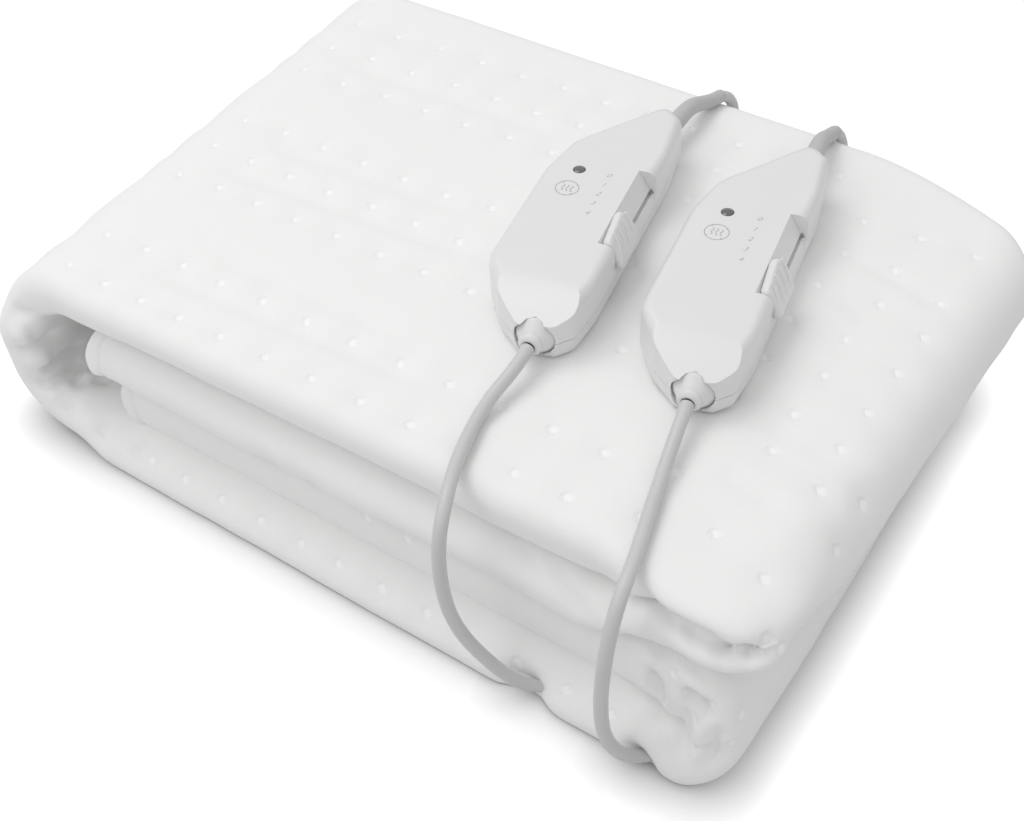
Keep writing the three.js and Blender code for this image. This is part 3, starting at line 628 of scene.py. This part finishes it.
MAINS_LEADS = [
    [
        (36.94, 106.85, 107.8), (36.9, 112, 107), (37.3, 118.5, 105), (38.3, 125, 102.6),
        (39.4, 131, 101.1), (40.5, 136.8, 100.8), (41.5, 142, 98.4), (42.4, 145.7, 93.1),
        (43.2, 147.1, 85.6), (43.9, 148, 75), (44.6, 148.6, 62), (45, 150.2, 48),
        (44.5, 152.3, 34), (42, 154.8, 22), (36, 157.8, 12), (26, 160.8, 6), (12, 163.6, 3.4),
        (-3, 164.8, 3.8), (-13, 164.9, 4.3),
    ],
    [
        (101.74, 110.99, 107.8), (100.9, 116, 107), (100.1, 121.5, 104.9), (99.7, 126.8, 102.4),
        (99.6, 131.9, 101), (99.9, 136.8, 99.6), (100.5, 141.1, 96), (101.2, 143.8, 90),
        (101.8, 145, 82.4), (102.4, 146, 72), (103, 146.9, 60), (103.2, 149, 47),
        (102.6, 151.5, 34), (100.6, 154.2, 21.5), (96.5, 157.3, 11.5), (89.5, 160.5, 5.6),
        (80, 163.4, 3.6), (69, 164.9, 4.3),
    ],
]
MAINS_TAILS = [
    [
        (-60.2, 207, 4.3), (-62, 214, 4.3), (-66, 220.5, 4.4), (-73, 225.6, 5.4), (-80, 227.8, 6.6),
        (-83, 228, 6.85), (-87, 228, 6.85),
    ],
    [
        (63, 235.2, 4.3), (72, 235.3, 4.3), (82, 234.4, 4.2), (92, 231, 4.8), (101, 225.6, 6.2),
        (107.88, 219.39, 6.85), (110, 216, 6.85),
    ],
]
COIL_CENTRES = [(-25 * MM, 200 * MM), (56 * MM, 200 * MM)]


def in_metres(rows):
    return [Vector(row) * MM for row in rows]


print("coils turn", [round(math.degrees(sweep) / 360, 2) for sweep in COIL_SWEEPS], "times")

# %% [markdown]
# The coil's turns have nine places, three wide and three high. The cord goes round at the bottom
# from the outside to the inside, up through the middle layer, and back over the top, so it leaves
# where it came in, at the outside. Each turn ends with a short change to the next one's place.

# %% A smooth line through route points, and the turns of a coil
EVENING_PASSES = 6  # they take out the small kinks at the route points


def smooth_line(points, step=3 * MM):
    """Points every few millimetres on a curve through the route's points."""
    ends = [2 * points[0] - points[1], *points, 2 * points[-1] - points[-2]]
    line = []
    for a, b, c, d in zip(ends, ends[1:], ends[2:], ends[3:]):
        count = max(1, round((c - b).length / step))
        for k in range(count):
            t = k / count
            line.append(0.5 * (
                2 * b + (c - a) * t + (2 * a - 5 * b + 4 * c - d) * t**2
                + (3 * b - a - 3 * c + d) * t**3
            ))
    line.append(points[-1].copy())
    for _ in range(EVENING_PASSES):
        inner = [(a + 2 * b + c) / 4 for a, b, c in zip(line, line[1:], line[2:])]
        line = [line[0], *inner, line[-1]]
    return line


def coil_turns(centre, whole_angle):
    """The middle of the cord in its coil, clockwise from above."""
    last = len(COIL_PLACES) - 1
    per_turn = whole_angle / len(COIL_PLACES)
    count = round(whole_angle / (2 * math.pi) * POINTS_PER_TURN)
    points = []
    for k in range(count + 1):
        gone = whole_angle * k / count
        turn = min(int(gone / per_turn), last)
        rest = per_turn * (turn + 1) - gone
        here, after = COIL_PLACES[turn], COIL_PLACES[min(turn + 1, last)]
        share = smooth_step(0, 1, 1 - rest / COIL_CHANGE)
        across = here[0] + (after[0] - here[0]) * share
        up = here[1] + (after[1] - here[1]) * share
        radius = COIL_RADIUS + across * COIL_PITCH
        angle = COIL_STARTS_AT - gone
        points.append(Vector((
            centre[0] + radius * math.cos(angle),
            centre[1] + radius * math.sin(angle),
            COIL_LOWEST + up * COIL_PITCH,
        )))
    return points


def line_length(points):
    return sum((b - a).length for a, b in zip(points, points[1:]))


# %% The cords' tubes
def tube(name, line, diameter=CORD_DIAMETER, sides=5):
    """A round cord along a line of points."""
    data = bpy.data.curves.new(name, "CURVE")
    data.dimensions = "3D"
    data.bevel_depth = 1  # the points' own radii give the tube's size
    data.bevel_resolution = sides
    data.use_fill_caps = True
    spline = data.splines.new("POLY")
    spline.points.add(len(line) - 1)
    for point, at in zip(spline.points, line):
        point.co = (*at, 1)
        point.radius = diameter / 2
    return placed(name, data)


cords = []
for side, (pad_rows, mains_rows, tail_rows) in enumerate(zip(PAD_LEADS, MAINS_LEADS, MAINS_TAILS)):
    number = side + 1
    pad_line = smooth_line(in_metres(pad_rows))
    pad_lead = tube(f"pad_lead_cord_{number}", pad_line)
    turns = coil_turns(COIL_CENTRES[side], COIL_SWEEPS[side])
    mains_line = smooth_line([*in_metres(mains_rows)[:-1], *turns, *in_metres(tail_rows)[1:]])
    mains_lead = tube(f"mains_cord_{number}", mains_line)
    for piece, line in ((pad_lead, pad_line), (mains_lead, mains_line)):
        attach(piece, ROOT_BODY)
        cords.append(piece)
        print(piece.name, "is", round(line_length(line), 3), "m long")
    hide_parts(f"pad_lead_{number}")
    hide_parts(f"mains_lead_{number}", f"mains_coil_{number}", f"mains_tail_{number}")


# %% [markdown]
# ## Controllers
#
# Each controller is a moulded shell in two halves, with all its edges softly rounded. The
# solids already have the right shape, so a copy of each is merged into whole faces, its edges
# are rounded with a bevel, more at the sloping nose than elsewhere, and the normals are weighted
# so that the flat faces stay flat.

# %% A finer copy of a solid
CREASE = math.radians(36)  # edges that turn by more are rounded
FLAT = math.radians(1)  # faces that turn by less are one
SHELL_SOFTNESS, GRIP_SOFTNESS, NOSE_SOFTNESS = 0.5 * MM, 0.4 * MM, 2.6 * MM
EDGE_STEPS, NOSE_STEPS = 3, 5
NOSE_REACH = 15 * MM  # how far behind the front end the top face starts to slope
NOSE_FOOT = 12 * MM  # edges below this height belong to the seam
FLANGE_ZONE = 9.6 * MM  # round the flange's axis, edges stay tight
SEATS = [((58.7, -59.5, 97.3), 11.0), ((125.7, -55.2, 97.3), 10.3)]  # mm and degrees
# where the cords leave, in the controller's directions, mm
FRONT_EXIT, REAR_EXIT = (1.5, 0, 10.5), (6.5, 143.5, 10.5)


def seat(number):
    """From a controller's own directions to where it lies on the pad."""
    at, turn = SEATS[number - 1]
    return Matrix.Translation(Vector(at) * MM) @ Matrix.Rotation(math.radians(turn), 4, "Z")


def creased(edge):
    return len(edge.link_faces) == 2 and edge.calc_face_angle() > CREASE


def on_nose(edge, home):
    """Whether an edge lies on the sloping nose, away from the flange."""
    axis_x, _, axis_z = FRONT_EXIT
    return all(
        at.y < NOSE_REACH and at.z > NOSE_FOOT
        and math.hypot(at.x - axis_x * MM, at.z - axis_z * MM) > FLANGE_ZONE
        for at in (home @ v.co for v in edge.verts)
    )


def round_edges(shape, edges, softness, steps):
    bmesh.ops.bevel(
        shape, geom=edges, offset=softness, segments=steps, profile=0.5, affect="EDGES",
        material=-1, clamp_overlap=True,
    )


def finer_copy(node, name, softness, nose_of=None):
    """The node's shape with whole faces and rounded edges, as a new piece in its place."""
    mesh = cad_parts[node].data.copy()
    mesh.name = name
    mesh.materials.clear()
    shape = bmesh.new()
    shape.from_mesh(mesh)
    bmesh.ops.remove_doubles(shape, verts=shape.verts, dist=MERGE)
    bmesh.ops.dissolve_limit(shape, angle_limit=FLAT, verts=shape.verts, edges=shape.edges)
    if nose_of:
        home = seat(nose_of).inverted()
        nose = [e for e in shape.edges if on_nose(e, home) and creased(e)]
        round_edges(shape, nose, NOSE_SOFTNESS, NOSE_STEPS)
    round_edges(shape, [e for e in shape.edges if creased(e)], softness, EDGE_STEPS)
    bmesh.ops.triangulate(shape, faces=[f for f in shape.faces if len(f.verts) > 4])
    shape.to_mesh(mesh)
    shape.free()
    mesh.shade_smooth()
    piece = placed(name, mesh)
    piece.modifiers.new("flat faces stay flat", "WEIGHTED_NORMAL")
    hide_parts(node)
    return piece


SLIDERS = {1: "slider_left", 2: "slider_right"}  # each controller's moving body
shells, thumbs = [], []
for number, slider in SLIDERS.items():
    for half, nose_of in (("base", None), ("top", number)):
        shell = finer_copy(
            f"housing_{half}_{number}", f"shell_{half}_{number}", SHELL_SOFTNESS, nose_of
        )
        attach(shell, ROOT_BODY)
        shells.append(shell)
    thumb = finer_copy(f"thumb_{number}", f"slider_grip_{number}", GRIP_SOFTNESS)
    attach(thumb, slider)
    thumbs.append(thumb)
print("faces of the shells and grips:", [len(p.data.polygons) for p in shells + thumbs])

# %% [markdown]
# The small parts of a controller are drawn in its own directions, X to the slider's side, Y to
# its rear end and Z up from its underside, and then turned to where it lies on the pad.

# %% Places on a controller
TOP_FACE = 25 * MM
WALL_TOP = (11 * MM, 25 * MM)  # X and Z of the slanted side wall's upper and lower edge
WALL_FOOT = (19 * MM, 11 * MM)


def on_wall(along, down, out):
    """A point on the slanted wall, in the controller's directions, from mm on the wall."""
    slope = Vector((WALL_FOOT[0] - WALL_TOP[0], 0, WALL_FOOT[1] - WALL_TOP[1])).normalized()
    facing = Vector((-slope.z, 0, slope.x))
    corner = Vector((WALL_TOP[0], along * MM, WALL_TOP[1]))
    return corner + slope * down * MM + facing * out * MM


def as_mesh(piece):
    """Turns a curve or text object into a mesh object at the origin."""
    bpy.context.view_layer.update()
    mesh = bpy.data.meshes.new_from_object(piece)
    mesh.name = piece.name
    mesh.transform(piece.matrix_world)
    made = placed(piece.name, mesh)
    bpy.data.objects.remove(piece)
    return made


def joined(name, parts):
    """One piece from several mesh objects."""
    shape = bmesh.new()
    for part in parts:
        shape.from_mesh(part.data)
        bpy.data.objects.remove(part)
    return placed(name, mesh_of(shape, name))


# %% [markdown]
# The grip has four ribs that curve down the slanted wall, so that a finger holds it. Each one is
# a round bar laid half into the grip, thinner at its lower end.

# %% Ribs of the grips
RIB_STARTS = [65, 60, 55, 50]  # mm along the trough
# along from the start, down the wall and out of it, mm
RIB_BENDS = [(0, 1.2, 4.1), (-0.3, 4, 4.6), (-1.6, 8, 4.6), (-3.6, 12, 4.3), (-5, 14.6, 3.4)]
RIB_RADIUS, RIB_STEP = 0.9 * MM, 0.8 * MM
RIB_THINNING = 0.5
for number, slider in SLIDERS.items():
    ribs = []
    for start in RIB_STARTS:
        route = [seat(number) @ on_wall(start + ahead, down, out) for ahead, down, out in RIB_BENDS]
        line = smooth_line(route, RIB_STEP)
        rib = tube(f"rib_{number}", line, 2 * RIB_RADIUS)
        for k, point in enumerate(rib.data.splines[0].points):
            point.radius *= 1 - RIB_THINNING * k / len(line)
        ribs.append(as_mesh(rib))
    grip_ribs = joined(f"grip_ribs_{number}", ribs)
    grip_ribs.data.shade_smooth()
    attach(grip_ribs, slider)
    shells.append(grip_ribs)
    print(grip_ribs.name, "has", len(grip_ribs.data.polygons), "faces")

# %% [markdown]
# The pad lead leaves through a round flange with a soft cone and a ring round the cord. It is a
# turned shape, so its half section is spun round the cord's axis.

# %% Front flanges
FLANGE_ROWS = [  # distance in front of the housing's front end, and radius, mm
    (-2.7, 2.4), (-2.7, 8.2), (-2.5, 8.4), (1.1, 8.4), (1.5, 8.2), (1.9, 7.8), (2.6, 7.4),
    (3.6, 6.6), (4.8, 5.8), (5.5, 5.4), (5.8, 5.05), (6.1, 4.8), (6.5, 4.95), (7.2, 4.9),
    (7.6, 4.6), (7.9, 4.1), (8.5, 3.6), (8.6, 2.6), (8.0, 2.4),
]
SPIN_STEPS = 56
flanges = []
for number in (1, 2):
    shape = bmesh.new()
    rim = [shape.verts.new(Vector((r, -at, 0)) * MM) for at, r in FLANGE_ROWS]
    edges = [shape.edges.new(pair) for pair in zip(rim, rim[1:])]
    bmesh.ops.spin(
        shape, geom=[*rim, *edges], axis=(0, 1, 0), cent=(0, 0, 0), angle=2 * math.pi,
        steps=SPIN_STEPS, use_merge=True,
    )
    bmesh.ops.remove_doubles(shape, verts=shape.verts, dist=MERGE)
    bmesh.ops.recalc_face_normals(shape, faces=shape.faces)
    mesh = mesh_of(shape, f"front_flange_{number}")
    mesh.transform(seat(number) @ Matrix.Translation(Vector(FRONT_EXIT) * MM))
    mesh.shade_smooth()
    flange = placed(mesh.name, mesh)
    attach(flange, ROOT_BODY)
    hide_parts(f"front_relief_{number}")
    flanges.append(flange)
    print(flange.name, "has", len(mesh.polygons), "faces")

# %% [markdown]
# At the rear a long soft sleeve keeps the mains lead from bending sharply. It gets thinner away
# from the shell and follows the lead down to the cloth.

# %% Rear sleeves
SLEEVE_START_RADIUS, SLEEVE_END_RADIUS = 4.5 * MM, 3.2 * MM
SLEEVE_POINTS = 6  # how many of the lead's route points the sleeve reaches over
SLEEVE_STEP = 1.5 * MM
SLEEVE_SIDES = 8
LIP_FROM, LIP_THINNING = 0.97, 0.12  # its last part is rounded off
sleeves = []
for number in (1, 2):
    inside = seat(number) @ (Vector(REAR_EXIT) * MM)
    route = [inside, *in_metres(MAINS_LEADS[number - 1][:SLEEVE_POINTS])]
    line = smooth_line(route, SLEEVE_STEP)
    sleeve = tube(f"rear_sleeve_{number}", line, 2 * SLEEVE_START_RADIUS, SLEEVE_SIDES)
    for k, point in enumerate(sleeve.data.splines[0].points):
        share = k / (len(line) - 1)
        thinner = (1 - SLEEVE_END_RADIUS / SLEEVE_START_RADIUS) * share
        point.radius *= (1 - thinner) * (1 - LIP_THINNING * smooth_step(LIP_FROM, 1, share))
    sleeve = as_mesh(sleeve)
    sleeve.data.shade_smooth()
    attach(sleeve, ROOT_BODY)
    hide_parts(f"rear_relief_{number}")
    sleeves.append(sleeve)
    print(f"rear_sleeve_{number} is", round(line_length(line) / MM, 1), "mm long")

# %% [markdown]
# The top face carries a row of printed numbers for the slider's steps and a round printed mark
# beside them, under a small dark lamp. The print is a film of grey ink, so each is a very thin
# flat shape just above the face.

# %% Printed numbers and ring
INK_HEIGHT = 0.05 * MM
DIGIT_HEIGHT = 3.9 * MM  # the font's size for digits 2.7 mm high
DIGIT_LEAN, DIGIT_THINNING = 0.3, 0.06 * MM
DIGIT_PLACES = [("0", 88.3), ("1", 81.3), ("2", 74.7), ("3", 67.9), ("4", 61.0)]
RING_CENTRE = (-13.7, 74.4)
RING_RADIUS = 5.0
RING_WIDTH = 0.28 * MM
TICKS = (40, 130, 220, 310)  # degrees round the ring
TICK_HALF, TICK_IN = 4, 0.5  # degrees, and mm inside the ring
WAVE_PLACES = (-1.9, 0, 1.9)  # mm beside the ring's centre
WAVE_POINTS, WAVE_RISE, WAVE_FOOT = 12, 0.4, -2.2
WAVE_SWING, WAVE_TURN = 0.45, 0.9  # mm, and radians for each point


def ink_line(name, points):
    """A thin printed line through points on the top face, in the controller's mm."""
    line = [Vector((x * MM, y * MM, TOP_FACE)) for x, y in points]
    return tube(name, line, RING_WIDTH, sides=1)


def round_line(radius, start=0, end=360, steps=48):
    angles = np.radians(np.linspace(start, end, steps + 1))
    x, y = RING_CENTRE
    return [(x + radius * math.cos(a), y + radius * math.sin(a)) for a in angles]


prints = []
for number in (1, 2):
    parts = []
    for digit, y in DIGIT_PLACES:
        text = bpy.data.curves.new(f"digit_{digit}_{number}", "FONT")
        text.body = digit
        text.size = DIGIT_HEIGHT
        text.shear = DIGIT_LEAN
        text.align_x, text.align_y = "CENTER", "CENTER"
        text.extrude = INK_HEIGHT / 2
        text.offset = -DIGIT_THINNING
        written = placed(text.name, text)
        written.matrix_world = seat(number) @ Matrix.Translation((0, y * MM, TOP_FACE))
        parts.append(as_mesh(written))
    x, y = RING_CENTRE
    marks = [round_line(RING_RADIUS)]
    marks += [
        round_line(RING_RADIUS - TICK_IN, a - TICK_HALF, a + TICK_HALF, steps=4) for a in TICKS
    ]
    marks += [  # three short waves of rising warmth
        [
            (x + place + WAVE_SWING * math.sin(WAVE_TURN * t), y + WAVE_FOOT + WAVE_RISE * t)
            for t in range(WAVE_POINTS)
        ]
        for place in WAVE_PLACES
    ]
    for points in marks:
        mark = ink_line(f"mark_{number}", points)
        mark.matrix_world = seat(number)
        parts.append(as_mesh(mark))
    print_piece = joined(f"printed_marks_{number}", parts)
    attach(print_piece, ROOT_BODY)
    prints.append(print_piece)
    print(print_piece.name, "has", len(parts), "marks")

# %% [markdown]
# ## Hard finishes
#
# The shells are moulded from a pale grey plastic with a satin face: a broad soft highlight on
# the rounded edges, and a grain so fine that it only breaks up the reflection. One node group
# gives such a fine grain as a normal and a slight cloudiness as a value, and each finish uses it
# at its own scale.

# %% A group for moulded surfaces
moulded = bpy.data.node_groups.new("moulded_grain", "ShaderNodeTree")
moulded.interface.new_socket("Scale", in_out="INPUT", socket_type="NodeSocketFloat")
moulded.interface.new_socket("Depth", in_out="INPUT", socket_type="NodeSocketFloat")
moulded.interface.new_socket("Cloud", in_out="OUTPUT", socket_type="NodeSocketFloat")
moulded.interface.new_socket("Normal", in_out="OUTPUT", socket_type="NodeSocketVector")
given = moulded.nodes.new("NodeGroupInput")
handed = moulded.nodes.new("NodeGroupOutput")
coords = added(moulded, "TexCoord")
grain = added(moulded, "TexNoise", {"Detail": 3})
cloud = added(moulded, "TexNoise", {"Scale": 60})
bump = added(moulded, "Bump", {"Distance": 0.1 * MM})
wired(
    moulded,
    (coords, "Object", grain, "Vector"),
    (coords, "Object", cloud, "Vector"),
    (given, "Scale", grain, "Scale"),
    (given, "Depth", bump, "Strength"),
    (grain, "Fac", bump, "Height"),
    (cloud, "Fac", handed, "Cloud"),
    (bump, "Normal", handed, "Normal"),
)
print(moulded.name, "has", len(moulded.nodes), "nodes")


def moulded_finish(name, dark, light, rough_low, rough_high, scale, depth):
    """A moulded surface between two colours and two roughnesses, with a fine grain."""
    material = bpy.data.materials.new(name)
    tree, shader = shader_tree(material)
    grain = added(tree, "Group", {"Scale": scale, "Depth": depth}, node_tree=moulded)
    color = added(tree, "Mix", {6: (*dark, 1), 7: (*light, 1)}, data_type="RGBA")
    rough = added(tree, "MapRange", {"To Min": rough_low, "To Max": rough_high})
    wired(
        tree,
        (grain, "Cloud", color, "Factor"),
        (grain, "Cloud", rough, "Value"),
        (color, 2, shader, "Base Color"),
        (rough, "Result", shader, "Roughness"),
        (grain, "Normal", shader, "Normal"),
    )
    return material


# %% Shell, rubber, print, lamp and pins
FINISHES = {  # two colours, two roughnesses, and the grain's scale and depth
    "satin_plastic": ((0.77, 0.77, 0.77), (0.79, 0.79, 0.788), 0.28, 0.36, 2600, 0.12),
    "flange_vinyl": ((0.75, 0.75, 0.75), (0.77, 0.77, 0.768), 0.32, 0.4, 2600, 0.12),
    "cord_vinyl": ((0.58, 0.58, 0.58), (0.61, 0.61, 0.608), 0.34, 0.4, 1800, 0.1),
    "sleeve_vinyl": ((0.5, 0.5, 0.5), (0.53, 0.53, 0.528), 0.5, 0.6, 1800, 0.25),
    "grey_ink": ((0.36, 0.36, 0.36), (0.4, 0.4, 0.4), 0.5, 0.6, 3000, 0.1),
    "smoked_lamp": ((0.1, 0.1, 0.1), (0.13, 0.13, 0.13), 0.12, 0.18, 900, 0.03),
    "plated_pins": ((0.62, 0.6, 0.56), (0.72, 0.7, 0.66), 0.2, 0.34, 1400, 0.15),
}
finishes = {name: moulded_finish(name, *values) for name, values in FINISHES.items()}
lamp_nodes, pin_nodes = (finishes[n].node_tree.nodes for n in ("smoked_lamp", "plated_pins"))
filled(lamp_nodes["Principled BSDF"], {"Coat Weight": 0.6, "Coat Roughness": 0.05})
filled(pin_nodes["Principled BSDF"], {"Metallic": 1})

WORN_BY = {
    "satin_plastic": shells + thumbs, "flange_vinyl": flanges, "cord_vinyl": cords,
    "sleeve_vinyl": sleeves, "grey_ink": prints,
}
for finish, pieces in WORN_BY.items():
    for piece in pieces:
        piece.data.materials.append(finishes[finish])
    print(finish, "is on", len(pieces), "pieces")

# %% Finishes of the solids that stay as they are
KEPT_SOLIDS = {
    "lamp": "smoked_lamp", "plug_body": "cord_vinyl", "coil_tie": "sleeve_vinyl",
    "plug_pin_a": "plated_pins", "plug_pin_b": "plated_pins",
}
for kind, finish in KEPT_SOLIDS.items():
    for number in SLIDERS:
        for material_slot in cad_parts[f"{kind}_{number}"].material_slots:
            material_slot.material = finishes[finish]
    print("each", kind, "is", finish)

# %% [markdown]
# ## Floor and light
#
# The pad lies on a pale floor in soft daylight. The world gives light from all round, more from
# above. A large lamp high up at the left gives the top its brightness, and a weaker one in front
# at the left keeps the front from going dark, while the right stays in soft shade. The floor
# shows as white to the camera, and still keeps the pad's shadow.

# %% Floor and lights
LAMPS = {  # place, target and size in metres, and power in watts
    "key": ((-0.7, 0.0, 1.7), (0.05, 0, 0.05), 0.9, 7.0),
    "fill": ((-0.5, -0.9, 1.2), (0, 0, 0.05), 0.8, 2.4),
}
for name, (at, target, size, power) in LAMPS.items():
    data = bpy.data.lights.new(name, "AREA")
    data.size = size
    data.energy = power
    lamp = placed(name, data)
    lamp.location = at
    lamp.rotation_euler = (Vector(target) - Vector(at)).to_track_quat("-Z", "Y").to_euler()
    print(name, "lamp:", power, "W from", round((Vector(at) - Vector(target)).length, 2), "m")

SKY_AT_HORIZON, SKY_OVERHEAD = 0.5, 0.82
FLOOR_HALF = 3  # metres
world = bpy.data.worlds.new("studio")
tree, background = shader_tree(world)
filled(background, {"Color": (1, 1, 1, 1)})
direction = added(tree, "TexCoord")
height = added(tree, "SeparateXYZ")
sky = added(tree, "MapRange", {"To Min": SKY_AT_HORIZON, "To Max": SKY_OVERHEAD})
paths = added(tree, "LightPath")
strength = added(tree, "Mix", {"B": 1})
wired(
    tree,
    (direction, "Generated", height, "Vector"),
    (height, "Z", sky, "Value"),
    (paths, "Is Camera Ray", strength, "Factor"),
    (sky, "Result", strength, "A"),
    (strength, "Result", background, "Strength"),
)
bpy.context.scene.world = world
bpy.context.scene.view_settings.view_transform = "Standard"

floor_bm = bmesh.new()
bmesh.ops.create_grid(floor_bm, x_segments=1, y_segments=1, size=FLOOR_HALF)
floor_mesh = mesh_of(floor_bm, "floor")
floor = placed(floor_mesh.name, floor_mesh)

# %% [markdown]
# The floor is white with a tight soft shadow where the pad stands on it. Its own surface scatters
# light up to the pad. What the camera sees of it is mostly its own even white glow, darkened close
# to the pad by a painted shadow that grows with how much of the room each spot is hidden from, and
# to a part by the real shadow.

# %% Floor paint
SHADOW_REACH = 20 * MM
CONTACT_SHADE, OPEN_SHADE = -0.1, 1.1  # floor brightness right under an edge and in the open
REAL_SHADOW_SHARE = 0.08

floor_paint = bpy.data.materials.new("floor_paint")
tree, _ = shader_tree(floor_paint)
tree.nodes.clear()
diffuse = added(tree, "BsdfDiffuse", {"Color": (0.75, 0.75, 0.75, 1)})
# painted shadow: the white that the camera sees is darkened where the pad hides the room from the
# floor
openness = added(tree, "AmbientOcclusion", {"Distance": SHADOW_REACH}, samples=16)
shade = added(tree, "MapRange", {"To Min": CONTACT_SHADE, "To Max": OPEN_SHADE})
glow = added(tree, "Emission")
seen = added(tree, "Math", {1: 1 - REAL_SHADOW_SHARE}, operation="MULTIPLY")
floor_path = added(tree, "LightPath")
mixed = added(tree, "MixShader")
surface = added(tree, "OutputMaterial")
wired(
    tree,
    (openness, "AO", shade, "Value"),
    (shade, "Result", glow, "Strength"),
    (floor_path, "Is Camera Ray", seen, 0),
    (seen, "Value", mixed, 0),
    (diffuse, 0, mixed, 1),
    (glow, 0, mixed, 2),
    (mixed, 0, surface, "Surface"),
)
floor_mesh.materials.append(floor_paint)
print("floor is", 2 * FLOOR_HALF, "m wide and white to the camera")
